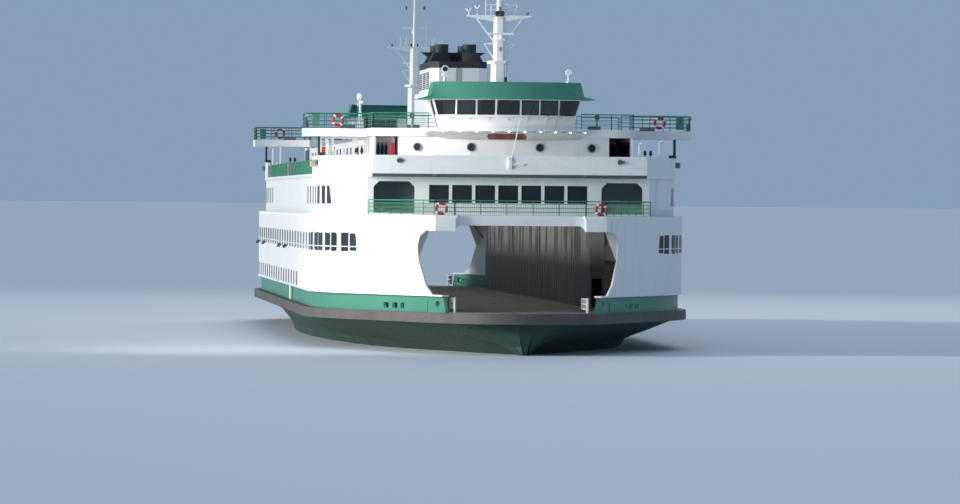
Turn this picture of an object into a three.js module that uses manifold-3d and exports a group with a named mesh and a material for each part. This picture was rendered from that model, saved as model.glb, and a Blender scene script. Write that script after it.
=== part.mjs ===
// Double-ended passenger and vehicle ferry, as a 1:10 scale model: 1 mm here is 10 mm on the ship.
// +Z is up and z = 0 is the waterline. The ship runs along Y: end 1 is at -Y and end 2 at +Y.
// With end 1 leading, starboard is at -X and port at +X. Both ends are alike, turned half way round.
import * as THREE from "three";
import { mergeVertices } from "three/addons/utils/BufferGeometryUtils.js";
import Module from "manifold-3d";

const wasm = await Module();
wasm.setup();

// Driving dimensions
const halfLength = 7010; // half the length over the guards
const halfBeam = 1385; // half the breadth over the guards
const sideRun = 4200; // the sides are parallel out to this y, then curve in
const sideRadius = 2800; // plan radius of the curve
const taper = THREE.MathUtils.degToRad(24.2); // the straight part after the curve runs in at this angle

const z = {
  keel: -530, hullTop: 272, guardLow: 212, guardTop: 280, deckTop: 285,
  strakeTop: 400, portalLow: 842, portalMid: 880, shellTop: 930, passengerDeck: 950,
  cabinTop: 1215, sunDeck: 1237, bulwarkTop: 1366, navLow: 1505, navDeck: 1562,
  wheelTop: 1768, roofTop: 1890, crewTop: 1490, funnelWhite: 2090, funnelBlack: 2140,
  stackTop: 2284, platform: 2370, mastTop: 2830,
};
const fit = 0.3; // clearance between a piece and the neighbour that it is cut to

// How far each ring of the ship's side lies inside the guard line
const inset = { deck: 85, strake: 60, shell: 35, cabin: 95, sunDeck: 85 };

const paint = {
  white: [0xf1f1ec, 0.45], green: [0x3f9a7c, 0.45], hullGreen: [0x1e4a3d, 0.6], steel: [0x6e6a63, 0.7],
  deck: [0x4b4b49, 0.9], greenDeck: [0x3c7a63, 0.85], black: [0x17191b, 0.6], bronze: [0xb08d4a, 0.35],
  grey: [0x8c9196, 0.6], railGreen: [0x2f7d62, 0.5],
};

const group = new THREE.Group();

// Solid tools
function solid(geometry) {
  let g = geometry.index ? geometry.toNonIndexed() : geometry;
  g = new THREE.BufferGeometry().setAttribute("position", g.getAttribute("position"));
  const merged = mergeVertices(g, 1e-3);
  const vertProperties = merged.attributes.position.array;
  const triVerts = new Uint32Array(merged.index.array);
  const made = new wasm.Manifold(new wasm.Mesh({ numProp: 3, vertProperties, triVerts }));
  if (made.volume() >= 0) return made;
  for (let i = 0; i < triVerts.length; i += 3) {
    [triVerts[i + 1], triVerts[i + 2]] = [triVerts[i + 2], triVerts[i + 1]];
  }
  return new wasm.Manifold(new wasm.Mesh({ numProp: 3, vertProperties, triVerts }));
}

const join = (parts) => parts.reduce((a, b) => a.add(b));
const cut = (base, tools) => tools.reduce((a, b) => a.subtract(b), base);

function add(name, made, [color, roughness], { parent = group, metalness = 0 } = {}) {
  const m = made.getMesh();
  const g = new THREE.BufferGeometry();
  g.setAttribute("position", new THREE.BufferAttribute(new Float32Array(m.vertProperties), 3));
  g.setIndex(new THREE.BufferAttribute(new Uint32Array(m.triVerts), 1));
  const mesh = new THREE.Mesh(g, new THREE.MeshStandardMaterial({ color, roughness, metalness }));
  mesh.name = name;
  parent.add(mesh);
  return mesh;
}

function shapeOf(points) {
  return new THREE.Shape(points.map(([a, b]) => new THREE.Vector2(a, b)));
}

function extrude(points, depth) {
  return new THREE.ExtrudeGeometry(shapeOf(points), { depth, bevelEnabled: false, curveSegments: 6 });
}

// Prisms: points are x,y pairs for prismZ, x,z pairs for prismY and y,z pairs for prismX
const prismZ = (points, z0, z1) => solid(extrude(points, z1 - z0).translate(0, 0, z0));
const prismY = (points, y0, y1) =>
  solid(extrude(points, y1 - y0).rotateX(Math.PI / 2).translate(0, y1, 0));
const alongX = new THREE.Matrix4().makeBasis(
  new THREE.Vector3(0, 1, 0), new THREE.Vector3(0, 0, 1), new THREE.Vector3(1, 0, 0));
const prismX = (points, x0, x1) =>
  solid(extrude(points, x1 - x0).applyMatrix4(alongX).translate(x0, 0, 0));
const box = (x0, x1, y0, y1, z0, z1) =>
  solid(new THREE.BoxGeometry(x1 - x0, y1 - y0, z1 - z0)
    .translate((x0 + x1) / 2, (y0 + y1) / 2, (z0 + z1) / 2));

// A square bar between two points
function bar([x0, y0, z0], [x1, y1, z1], size) {
  const from = new THREE.Vector3(x0, y0, z0);
  const run = new THREE.Vector3(x1, y1, z1).sub(from);
  const g = new THREE.BoxGeometry(size, size, run.length());
  const turn = new THREE.Quaternion().setFromUnitVectors(new THREE.Vector3(0, 0, 1), run.clone().normalize());
  g.applyQuaternion(turn).translate(from.x + run.x / 2, from.y + run.y / 2, from.z + run.z / 2);
  return solid(g);
}

const tube = (radius, x, y, z0, z1, sides = 12) =>
  solid(new THREE.CylinderGeometry(radius, radius, z1 - z0, sides)
    .rotateX(Math.PI / 2).translate(x, y, (z0 + z1) / 2));
const tubeY = (radius, x, y0, y1, zc, sides = 12) =>
  solid(new THREE.CylinderGeometry(radius, radius, y1 - y0, sides).translate(x, (y0 + y1) / 2, zc));

// A closed skin over rings of points, each ring with the same number of points
function loft(rings) {
  const n = rings[0].length;
  const positions = rings.flat().flat();
  const index = [];
  for (let r = 0; r + 1 < rings.length; r++) {
    for (let i = 0; i < n; i++) {
      const a = r * n + i;
      const b = r * n + ((i + 1) % n);
      index.push(a, b, a + n, b, b + n, a + n);
    }
  }
  for (let i = 1; i + 1 < n; i++) {
    const last = (rings.length - 1) * n;
    index.push(0, i + 1, i, last, last + i, last + i + 1);
  }
  const g = new THREE.BufferGeometry();
  g.setAttribute("position", new THREE.Float32BufferAttribute(positions, 3));
  g.setIndex(index);
  return solid(g);
}

// Plan of the ship's side, inset from the guard line: straight, a curve, the straight taper, then a round nose
const [cos, sin] = [Math.cos(taper), Math.sin(taper)];
const sideCentre = { x: halfBeam - sideRadius, y: sideRun };
const taperLine = sideCentre.x * cos + sideCentre.y * sin + sideRadius; // its distance from the origin
const noseCentreY = (halfLength - taperLine) / (1 - sin);
const noseRadius = halfLength - noseCentreY;

function halfBreadth(y, off = 0) {
  const d = Math.abs(y);
  const r = sideRadius - off;
  const n = noseRadius - off;
  if (d <= sideRun) return halfBeam - off;
  if (d <= sideCentre.y + r * sin) return sideCentre.x + Math.sqrt(r * r - (d - sideRun) ** 2);
  if (d <= noseCentreY + n * sin) return (taperLine - off - d * sin) / cos;
  return Math.sqrt(Math.max(0, n * n - (d - noseCentreY) ** 2));
}

// One quarter of the plan, from midships (y = 0) to the nose or to the line y = stop, as x,y pairs
function quarter(off, stop = Infinity, arcSteps = 6, noseSteps = 6) {
  const r = sideRadius - off;
  const n = noseRadius - off;
  const points = [[halfBeam - off, 0]];
  for (let i = 0; i <= arcSteps; i++) {
    const a = (taper * i) / arcSteps;
    points.push([sideCentre.x + r * Math.cos(a), sideCentre.y + r * Math.sin(a)]);
  }
  for (let i = 0; i <= noseSteps; i++) {
    const a = taper + ((Math.PI / 2 - taper) * i) / noseSteps;
    points.push([n * Math.cos(a), noseCentreY + n * Math.sin(a)]);
  }
  const kept = points.filter(([, y]) => y < stop - 1);
  if (kept.length < points.length) kept.push([halfBreadth(stop, off), stop]);
  else kept.push([0, halfLength - off]);
  return kept.filter(([x, y], i) => i === 0 || Math.hypot(x - kept[i - 1][0], y - kept[i - 1][1]) > 1);
}

// The whole plan as one loop
function plan(off, stop) {
  const q = quarter(off, stop).slice(1);
  const flip = (points, sx, sy) => points.map(([x, y]) => [x * sx, y * sy]);
  const loop = [
    ...flip(q, 1, 1), ...flip(q, -1, 1).reverse(), ...flip(q, -1, -1), ...flip(q, 1, -1).reverse(),
  ];
  return loop.filter(([x, y], i) => {
    const [px, py] = loop[(i + loop.length - 1) % loop.length];
    return Math.hypot(x - px, y - py) > 1;
  });
}

// A wall that follows one side of the plan, from y = -stop to y = stop
function sideWall(side, outer, inner, stop, z0, z1) {
  const half = (off) => {
    const q = quarter(off, stop).slice(1);
    return [...q.map(([x, y]) => [x * side, -y]).reverse(), ...q.map(([x, y]) => [x * side, y])];
  };
  return prismZ([...half(outer), ...half(inner).reverse()], z0, z1);
}

// Both ends are the same piece, turned half a turn about Z for end 2
const ends = [1, 2].map((number) => {
  const end = new THREE.Group();
  end.rotation.z = number === 1 ? 0 : Math.PI;
  group.add(end);
  return { number, end };
});
function addAtEnds(name, made, finish, options = {}) {
  for (const { number, end } of ends) add(`${name}_${number}`, made, finish, { ...options, parent: end });
}
const sides = [["stbd", -1], ["port", 1]];

// Hull: lofted sections, flared up to the guard, cut away at each end over the propeller and rudder
const stemY = 6620; // the stem at the waterline
const halfWater = 1175; // half breadth of the waterline amidships
const shaft = { z: -330, propY: 5850, radius: 190 };
const rudder = { stockY: 6180, low: -515, high: -160 };

function hullRing(y) {
  const d = Math.abs(y);
  const along = Math.min(1, d / stemY);
  const water = Math.max(4, halfWater * Math.pow(Math.max(0, 1 - Math.pow(along, 2.2)), 0.85));
  const rise = Math.min(1, Math.max(0, (d - 4000) / 1950));
  const bottom = z.keel + (z.keel * -1 - 95) * rise * rise * (3 - 2 * rise);
  const flat = Math.max(2, water * 0.62 * (1 - rise));
  const top = Math.max(6, halfBreadth(y, inset.deck));
  const knuckle = Math.max(5, top - 12);
  const half = [
    [flat, bottom], [Math.max(3, water * (0.93 - 0.45 * rise)), bottom * 0.62],
    [water, Math.min(-20, bottom * 0.2)], [water + (knuckle - water) * 0.3, 60],
    [water + (knuckle - water) * 0.7, 140], [knuckle, z.guardLow - 6], [top, z.guardLow + 4], [top, z.hullTop],
  ];
  return [...half.map(([x, h]) => [x, y, h]), ...half.map(([x, h]) => [-x, y, h]).reverse()];
}
const quarterStations = [0, 1500, 2700, 3650, 4200, 4600, 5000, 5350, 5850, 6200, 6450, 6620, 6780, 6880, 6920];
const stations = [...quarterStations.slice(1).map((y) => -y).reverse(), ...quarterStations];
const hullBody = loft(stations.map(hullRing));
const skegs = [-1, 1].map((s) => {
  const boss = solid(new THREE.CylinderGeometry(s < 0 ? 62 : 80, s < 0 ? 80 : 62, 420, 12)
    .translate(0, s * (shaft.propY - 45 - fit - 210), shaft.z));
  const fin = prismX(
    [[s * 3900, z.keel + 120], [s * 3900, z.keel], [s * 5560, z.keel], [s * 5640, shaft.z - 60],
      [s * 5640, shaft.z + 60], [s * 5700, -150], [s * 5500, -100]], -28, 28);
  return fin.add(boss);
});
const stemPosts = [-1, 1].map((s) =>
  prismX([[s * 6350, -90], [s * 6560, -90], [s * 6640, 20], [s * 6800, 200], [s * 6500, 200]], -7, 7));
const rudderTrunks = [-1, 1].map((s) => tube(46, 0, s * rudder.stockY, rudder.high + fit, -40));
const guardSeat = prismZ(plan(-60), z.guardLow - fit, z.hullTop + 10)
  .subtract(prismZ(plan(inset.deck), z.guardLow - 1, z.hullTop + 11));
add("hull", join([hullBody, ...skegs, ...stemPosts, ...rudderTrunks]).subtract(guardSeat), paint.hullGreen);

// Guard: the steel rubbing belt round the deck edge
const guardRing = prismZ(plan(0), z.guardLow, z.guardTop)
  .subtract(prismZ(plan(inset.deck - fit), z.guardLow - 1, z.guardTop + 1));
add("guard_belt", guardRing, paint.steel);

// Vehicle deck plating, with a raised sill at each end where the shore ramp lands
const sills = [-1, 1].map((s) => prismZ(
  [[-170, s * 6890], [-330, s * 6760], [330, s * 6760], [170, s * 6890]], z.deckTop - 1, z.deckTop + 2));
add("vehicle_deck", join([prismZ(plan(inset.deck), z.hullTop, z.deckTop), ...sills]), paint.deck);

// Green strake above the guard, its ends raked at the open bow and stern
const strakeEndY = 6570;
for (const [name, side] of sides) {
  const plate = sideWall(side, inset.strake, inset.strake + 18, strakeEndY, z.guardTop, z.strakeTop);
  const cap = sideWall(side, inset.shell, inset.strake + 18, strakeEndY, z.strakeTop - 9, z.strakeTop);
  const wall = plate.add(cap);
  const rake = [-1, 1].map((s) => prismX(
    [[s * (strakeEndY - 30), z.strakeTop + 1], [s * (strakeEndY + 9), z.guardTop], [s * 7000, z.guardTop],
      [s * 7000, z.strakeTop + 1]], side < 0 ? -700 : 300, side < 0 ? -300 : 700));
  add(`bulwark_strake_${name}`, cut(wall, rake), paint.green);
}

// White side plating of the vehicle deck. Each end has a wide mouth with rounded upper corners.
const mouthY = 6480; // where the passenger deck ends over the mouth
const mouth = [
  [-602, z.strakeTop - 1], [602, z.strakeTop - 1], [645, 470], [689, 640], [695, 740], [683, 800],
  [658, 832], [646, z.portalLow], [646, z.shellTop + 1], [-646, z.shellTop + 1], [-646, z.portalLow],
  [-658, 832], [-683, 800], [-695, 740], [-689, 640], [-645, 470],
];
const mouths = [prismY(mouth, -7000, -5900), prismY(mouth, 5900, 7000)];
for (const [name, side] of sides) {
  const wall = sideWall(side, inset.shell, inset.shell + 20, 6560, z.strakeTop, z.shellTop);
  add(`side_shell_${name}`, cut(wall, mouths), paint.white);
}

// Portal over each mouth: fascia, two boxed corners, deckhead plate and corner gussets
const fascia = prismY(
  [[-460, z.shellTop], [-460, z.portalLow], [-420, z.portalMid], [420, z.portalMid], [460, z.portalLow],
    [460, z.shellTop]], -6400, -6340);
const corners = [-1, 1].map((s) => prismZ(
  [[s * 450, -mouthY], [s * 590, -mouthY], [s * 636, -6382], [s * 636, -6340], [s * 450, -6340]],
  z.portalLow, z.shellTop));
const deckhead = prismZ([[-600, -6345], [600, -6345], [690, -6170], [-690, -6170]], z.shellTop - 14, z.shellTop);
const gussetEdge = halfBreadth(6190, inset.shell + 20) - 1;
const gussets = [-1, 1].map((s) => prismY([[s * 612, z.shellTop], [s * 612, 832], [s * 680, 656],
  [s * gussetEdge, 656], [s * gussetEdge, z.shellTop]], -6190, -6176));
addAtEnds("portal", join([fascia, ...corners, deckhead, ...gussets]), paint.white);

// Casings between the centre lanes and the side lanes: hollow trunks with a doorway at each end
const casingRun = 4700;
for (const [name, side] of sides) {
  const x0 = Math.min(side * 650, side * 750);
  const wall = box(x0, x0 + 100, -casingRun, casingRun, z.deckTop, z.shellTop);
  const inside = box(x0 + 12, x0 + 88, 12 - casingRun, casingRun - 12, z.deckTop + 12, z.shellTop - 12);
  const doorway = box(x0 + 14, x0 + 86, -casingRun - 1, casingRun + 1, z.deckTop + 14, z.deckTop + 215);
  add(`casing_${name}`, cut(wall, [inside, doorway]), paint.grey);
}

// Gallery deck over each side lane, with a ramp down at each end
const galleryZ = 575;
for (const [name, side] of sides) {
  const run = 3300;
  const low = 4650;
  const depth = 40; // the flat's plating and beams
  const profile = [
    [-low, z.deckTop], [-low, z.deckTop + 16], [-run, galleryZ], [run, galleryZ], [low, z.deckTop + 16],
    [low, z.deckTop], [run, galleryZ - 16], [-run, galleryZ - 16],
  ];
  const inner = 750 + fit;
  const outer = 1035; // the lane outboard of the ramp leads under the gallery
  const ramp = side < 0 ? prismX(profile, -outer, -inner) : prismX(profile, inner, outer);
  const edge = halfBeam - inset.shell - 20 - fit;
  const flat = box(Math.min(side * inner, side * edge), Math.max(side * inner, side * edge), -run, run,
    galleryZ - depth, galleryZ);
  add(`gallery_${name}`, ramp.add(flat), paint.deck);
}

// Passenger deck, cut back a little between the boxed corners of the portal
const notch = [-1, 1].map((s) => box(-440, 440, s < 0 ? -6600 : 6400, s < 0 ? -6400 : 6600,
  z.shellTop - 1, z.passengerDeck + 1));
const landings = [-1, 1].map((s) => box(-100, 100, s < 0 ? -6375 : 6275, s < 0 ? -6275 : 6375,
  z.passengerDeck - 1, z.passengerDeck + 2));
add("passenger_deck", join([cut(prismZ(plan(inset.shell, mouthY), z.shellTop, z.passengerDeck), notch), ...landings]),
  paint.greenDeck);

// Passenger cabin sides, raked at their ends
const cabinEndY = 5400;
for (const [name, side] of sides) {
  const wall = sideWall(side, inset.cabin, inset.cabin + 14, 5520, z.passengerDeck, z.cabinTop);
  const rake = [-1, 1].map((s) => prismX(
    [[s * 5230, z.cabinTop + 1], [s * 5325, z.passengerDeck], [s * 5700, z.passengerDeck],
      [s * 5700, z.cabinTop + 1]], -1500, 1500));
  add(`cabin_side_${name}`, cut(wall, rake), paint.white);
}

// Cabin end walls: seven windows between two wide open shelters, and returns that run aft inside the cabin sides
const returnWall = { off: inset.cabin + 14 + fit, thick: 10, back: 5140 };
const endWallHalf = halfBreadth(cabinEndY, returnWall.off);
const windowPitch = 163;
const windows = [-3, -2, -1, 0, 1, 2, 3].map((i) =>
  box(i * windowPitch - 70, i * windowPitch + 70, -5500, -5200, 1035, 1160));
const shelters = [-1, 1].map((s) => {
  const edge = (a, b) => [Math.min(s * a, s * b), Math.max(s * a, s * b)];
  const [x0, x1] = edge(660, 950);
  return prismY([[x0, 962], [x1, 962], [x1, 1145], [x1 - 38, 1183], [x0 + 38, 1183], [x0, 1145]], -5500, -5200);
});
const returns = sides.map(([, side]) =>
  sideWall(side, returnWall.off, returnWall.off + returnWall.thick, cabinEndY, z.passengerDeck, z.cabinTop)
    .intersect(box(-1400, 1400, -cabinEndY, -returnWall.back, z.passengerDeck - 1, z.cabinTop + 1)));
const endWall = join([
  box(-endWallHalf, endWallHalf, -cabinEndY, -cabinEndY + 14, z.passengerDeck, z.cabinTop), ...returns]);
addAtEnds("cabin_end", cut(endWall, [...windows, ...shelters]), paint.white);

// Sun deck, with a solid bulwark round each end and along the sides back to the shelter posts
const sunEndY = 5520;
const shelterY = 3750;
const sunPlate = prismZ(plan(inset.sunDeck, sunEndY), z.cabinTop, z.sunDeck);
const bulwarks = prismZ(plan(inset.sunDeck, sunEndY), z.sunDeck - 1, z.bulwarkTop)
  .subtract(prismZ(plan(inset.sunDeck + 12, sunEndY - 12), z.sunDeck - 2, z.bulwarkTop + 1))
  .subtract(box(-1400, 1400, -shelterY, shelterY, z.sunDeck, z.bulwarkTop + 1));
add("sun_deck", sunPlate.add(bulwarks), paint.white);

// House under each wheelhouse: a bowed front wall, and an open shelter bay outboard of it on each side
const bridgeHouse = { front: 5150, corner: 5010, back: 3900, half: 750, bay: 925, bayFront: 4960 };
function bowed(half, corner, front, back, inset = 0, steps = 6) {
  const points = [];
  for (let i = 0; i <= steps; i++) {
    const x = -1 + (2 * i) / steps;
    points.push([x * (half - inset), -(corner + (front - corner) * (1 - x * x)) + inset]);
  }
  return [...points, [half - inset, -back - inset], [-(half - inset), -back - inset]];
}
const h = bridgeHouse;
const bayWalls = [-1, 1].map((s) => join([
  prismX([[-h.bayFront - 22, z.sunDeck], [-h.bayFront, z.navLow], [-h.back, z.navLow], [-h.back, z.sunDeck]],
    Math.min(s * h.bay, s * (h.bay - 14)), Math.max(s * h.bay, s * (h.bay - 14))),
  box(Math.min(s * 745, s * h.bay), Math.max(s * 745, s * h.bay), -h.back - 14, -h.back, z.sunDeck, z.navLow)]));
const screenY = -4320;
const screenEdge = halfBreadth(screenY, inset.sunDeck + 12) - 3;
const screen = box(-screenEdge, 1 - h.bay, screenY, screenY + 14, z.sunDeck, z.navLow);
const screenGaps = [[-1262, -1190], [-1172, -1040], [-1005, -945]].map(([x0, x1]) =>
  box(x0, x1, screenY - 20, screenY + 30, z.sunDeck + 14, z.navLow - 16));
const houseWalls = cut(
  join([screen, prismZ(bowed(h.half, h.corner, h.front, h.back), z.sunDeck, z.navLow)
    .subtract(prismZ(bowed(h.half, h.corner, h.front, h.back, 14), z.sunDeck - 1, z.navLow + 1)), ...bayWalls]),
  [box(-60, 60, -h.back - 40, -h.back + 20, z.sunDeck + 12, z.sunDeck + 205),
    box(-800, 800, -4600, -4510, z.sunDeck + 12, z.sunDeck + 205), ...screenGaps]);
addAtEnds("bridge_house", houseWalls, paint.white);

// Crew house amidships, carrying the funnel
const crew = { half: 925, run: 3860 };
const crewWalls = cut(box(-crew.half, crew.half, -crew.run, crew.run, z.sunDeck, z.crewTop), [
  box(14 - crew.half, crew.half - 14, 14 - crew.run, crew.run - 14, z.sunDeck - 1, z.crewTop - 14),
  box(-60, 60, -crew.run - 10, crew.run + 10, z.sunDeck + 12, z.sunDeck + 205),
  box(-1000, 1000, -1245, -1155, z.sunDeck + 12, z.sunDeck + 205),
  box(-1000, 1000, 1155, 1245, z.sunDeck + 12, z.sunDeck + 205)]);
add("crew_house", crewWalls, paint.white);

// Navigating deck: wing catwalks on posts, and a thin bowed lip over a raked soffit in front of the wheelhouse
const wing = { half: 1395, fore: 4530, aft: 4120 };
const lip = { half: 590, corner: 5130, front: 5440, low: 1540 };
const mirrored = (points) => [...points, ...points.map(([x, y]) => [-x, y]).reverse()];
const navPlan = mirrored([
  [lip.half, -5085], [770, -5028], [940, -4990], [960, -wing.fore], [wing.half, -wing.fore],
  [wing.half, -wing.aft], [940, -wing.aft], [940, -3880]]);
const lipRing = (half, corner, front, height) =>
  bowed(half, corner, front, h.corner - 10, 0, 8).map(([x, y]) => [x, y, height]);
const soffit = loft([lipRing(540, 5040, 5120, 1474), lipRing(lip.half - 4, lip.corner - 4, lip.front - 8, lip.low + 1)]);
const lipPlate = prismZ(bowed(lip.half, lip.corner, lip.front, h.corner - 10, 0, 8), lip.low, z.navDeck);
const wingPosts = [-1, 1].map((s) => box(Math.min(s * 1278, s * 1292), Math.max(s * 1278, s * 1292),
  -4410, -4390, z.bulwarkTop, z.navLow + 1));
const console_ = box(-330, 330, -5160, -5080, z.navDeck - 1, z.navDeck + 95)
  .add(box(-120, 120, -5090, -4990, z.navDeck - 1, z.navDeck + 80));
const navDeck = join([prismZ(navPlan, z.navLow, z.navDeck), lipPlate, soffit, ...wingPosts, console_]);
addAtEnds("nav_deck", navDeck.subtract(prismZ(bowed(h.half + 1, h.corner + 1, h.front + 1, h.back), z.sunDeck,
  z.navLow)), paint.white);

// Wheelhouse: walls that lean out to the top, seven front windows, side windows and two door openings
const wheel = { lowHalf: 470, topHalf: 530, lowFront: 5320, lowCorner: 5180, topFront: 5370, topCorner: 5230, back: 4780 };
function wheelRing(half, corner, front, inset, height) {
  return bowed(half, corner, front, wheel.back, inset, 7).map(([x, y]) => [x, y, height]);
}
function wheelSolid(inset, grow) {
  return loft([
    wheelRing(wheel.lowHalf, wheel.lowCorner, wheel.lowFront, inset, z.navDeck - grow),
    wheelRing(wheel.topHalf, wheel.topCorner, wheel.topFront, inset, z.wheelTop + grow)]);
}
const sill = 1660;
const head = 1760;
const lean = (wheel.topHalf - wheel.lowHalf) / (z.wheelTop - z.navDeck);
const wallX = (height) => wheel.lowHalf + lean * (height - z.navDeck);
const frontWindows = [
  box(-78, 78, -5600, -5100, sill, head),
  ...[-1, 1].flatMap((s) => [[96, 216], [231, 356]].map(([a, b]) =>
    box(Math.min(s * a, s * b), Math.max(s * a, s * b), -5600, -5100, sill, head))),
  ...[-1, 1].map((s) => prismY(
    [[s * 372, sill], [s * (wallX(sill) - 14), sill], [s * (wallX(head) - 14), head], [s * 372, head]], -5600, -5100))];
const doorBox = { y0: -5000, y1: -4920, z0: z.navDeck + 6, z1: z.navDeck + 190 };
const sideWindows = [
  box(-700, 700, -5170, -5040, sill, head),
  box(-700, 700, doorBox.y0, doorBox.y1, doorBox.z0, doorBox.z1),
  box(-420, -140, -4900, -4700, sill, head), box(140, 420, -4900, -4700, sill, head)];
const leafTop = doorBox.z1 - 4;
const tracks = [-1, 1].map((s) => prismY(
  [[s * (wallX(leafTop) - 2), leafTop + fit], [s * (wallX(leafTop) + 15), leafTop + fit],
    [s * (wallX(leafTop) + 15), leafTop + 8], [s * (wallX(leafTop) - 2), leafTop + 8]],
  doorBox.y0 - 6, doorBox.y1 + 84));
const wheelWalls = cut(wheelSolid(0, 0), [wheelSolid(9, 1), ...frontWindows, ...sideWindows]);
addAtEnds("wheelhouse", join([wheelWalls, ...tracks]), paint.white);

// Wheelhouse doors: leaves that lean with the walls and slide aft under their top tracks
for (const [name, side] of sides) {
  const low = doorBox.z0 + 3;
  const leaf = prismY(
    [[side * (wallX(low) + 5.5), low], [side * (wallX(low) + 12), low], [side * (wallX(leafTop) + 12), leafTop],
      [side * (wallX(leafTop) + 5.5), leafTop]], doorBox.y0 - 2, doorBox.y1 + 2);
  const light = box(-700, 700, doorBox.y0 + 16, doorBox.y1 - 16, sill, sill + 66);
  addAtEnds(`wheel_door_${name}`, leaf.subtract(light), paint.white);
}

// Wheelhouse roof: a deep sloping visor round the front and sides, fins at the sides, two searchlights
const roofY = { back: 4760, lowFront: 5440, lowCorner: 5290, topFront: 5400, topCorner: 5255 };
const roofRing = (half, corner, front, inset, height) =>
  bowed(half, corner, front, roofY.back, inset, 6).map(([x, y]) => [x, y, height]);
const visor = loft([
  roofRing(548, roofY.lowCorner, roofY.lowFront, 0, z.wheelTop),
  roofRing(520, roofY.topCorner, roofY.topFront, 0, z.roofTop)])
  .subtract(loft([
    roofRing(538, roofY.lowCorner, roofY.lowFront, 8, z.wheelTop + 22),
    roofRing(520, roofY.topCorner, roofY.topFront, 8, z.roofTop + 1)]))
  .subtract(box(-600, 600, -4900, -4700, z.wheelTop + 22, z.roofTop + 2));
const fins = [-1, 1].map((s) => prismY(
  [[s * 520, z.wheelTop], [s * 540, z.wheelTop + 24], [s * 620, z.wheelTop + 4], [s * 622, z.wheelTop]],
  -5290, -roofY.back));
const searchlights = [-1, 1].map((s) => join([
  tube(9, s * 440, -5180, z.wheelTop + 20, 1948, 8),
  tubeY(21, s * 440, -5212, -5156, 1962, 12)]));
addAtEnds("wheelhouse_roof", join([visor, ...fins, ...searchlights]), paint.green);

// Funnel: white casing with rounded corners, black top with a wing plate and four uptakes
const funnel = { half: 225, run: 650, corner: 70 };
function rounded(half, run, corner) {
  return [
    [half, -run + corner], [half, run - corner], [half - corner, run], [-half + corner, run],
    [-half, run - corner], [-half, -run + corner], [-half + corner, -run], [half - corner, -run]];
}
add("funnel_casing", prismZ(rounded(funnel.half + 35, funnel.run + 60, 90), z.crewTop, 1900)
  .add(prismZ(rounded(funnel.half, funnel.run, funnel.corner), 1899, z.funnelWhite)), paint.white);
const stacks = [-1, 1].flatMap((sx) => [-1, 1].map((sy) => {
  const x = sx * 110;
  const y = sy * 260;
  const outerLow = x + sx * 105;
  const shroud = prismY(
    [[x - sx * 62, z.funnelBlack - 1], [outerLow, z.funnelBlack - 1], [x + sx * 62, 2218],
      [x - sx * 62, 2218]], y - 95, y + 95);
  return shroud.add(tube(55, x, y, 2200, z.stackTop, 14));
}));
const wingPlate = prismY([[-255, 2225], [-200, 2190], [200, 2190], [255, 2225]], -60, 60);
const web = box(-150, 150, -30, 30, z.funnelBlack - 1, 2200);
add("funnel_top", join([prismZ(rounded(funnel.half, funnel.run, funnel.corner), z.funnelWhite, z.funnelBlack),
  ...stacks, wingPlate, web, box(-60, 60, -200, 200, z.funnelBlack - 1, 2180)]), paint.black);

// Masts: a tapered column with a collar, a cross platform with braces, an upper pole and radar pedestals
const mastY = -4500;
const ring8 = (half, depth, height) => [
  [half, -depth / 2], [half, depth / 2], [half / 2, depth], [-half / 2, depth], [-half, depth / 2],
  [-half, -depth / 2], [-half / 2, -depth], [half / 2, -depth]].map(([x, y]) => [x, mastY + y, height]);
const column = loft([ring8(60, 88, z.navDeck), ring8(56, 80, 2040), ring8(42, 62, 2060), ring8(40, 56, z.platform)]);
const collar = prismZ(rounded(82, 105, 40).map(([x, y]) => [x, y + mastY]), 2036, 2056);
const crossArms = prismY(
  [[-232, z.platform + 4], [-40, z.platform - 30], [40, z.platform - 30], [232, z.platform + 4],
    [232, z.platform + 14], [-232, z.platform + 14]], mastY - 34, mastY + 34);
const braces = [-1, 1].map((s) => bar([s * 36, mastY, 2190], [s * 165, mastY, z.platform - 8], 9));
const upperPole = loft([ring8(20, 22, z.platform + 10), ring8(11, 12, z.mastTop)]);
const radar = { lowZ: 2240, highZ: 2545, reach: 92, arm: 165 };
const pedestals = [
  box(-26, 26, mastY - radar.arm - 24, mastY - 40, radar.lowZ - 42, radar.lowZ - 30),
  tube(18, 0, mastY - radar.arm, radar.lowZ - 31, radar.lowZ - 9, 10),
  box(-18, 18, mastY - radar.arm - 18, mastY - 6, radar.highZ - 42, radar.highZ - 32),
  tube(16, 0, mastY - radar.arm, radar.highZ - 33, radar.highZ - 9, 10)];
const basket = [-1, 1].flatMap((s) => [
  bar([s * 44, mastY, 2080], [s * 108, mastY, 2180], 7), bar([s * 30, mastY, 2180], [s * 112, mastY, 2180], 7)]);
const yard = box(-90, 90, mastY - 5, mastY + 5, 2700, 2710);
addAtEnds("mast", join([column, collar, crossArms, ...braces, upperPole, ...pedestals, ...basket, yard]),
  paint.white);

// Radar scanners, turning on their pedestals
for (const [name, height] of [["low", radar.lowZ], ["high", radar.highZ]]) {
  const scanner = box(-radar.reach, radar.reach, mastY - radar.arm - 8, mastY - radar.arm + 8, height, height + 15)
    .add(tube(12, 0, mastY - radar.arm, height - 8.7, height + 1, 10));
  addAtEnds(`radar_${name}`, scanner, paint.white);
}

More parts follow.
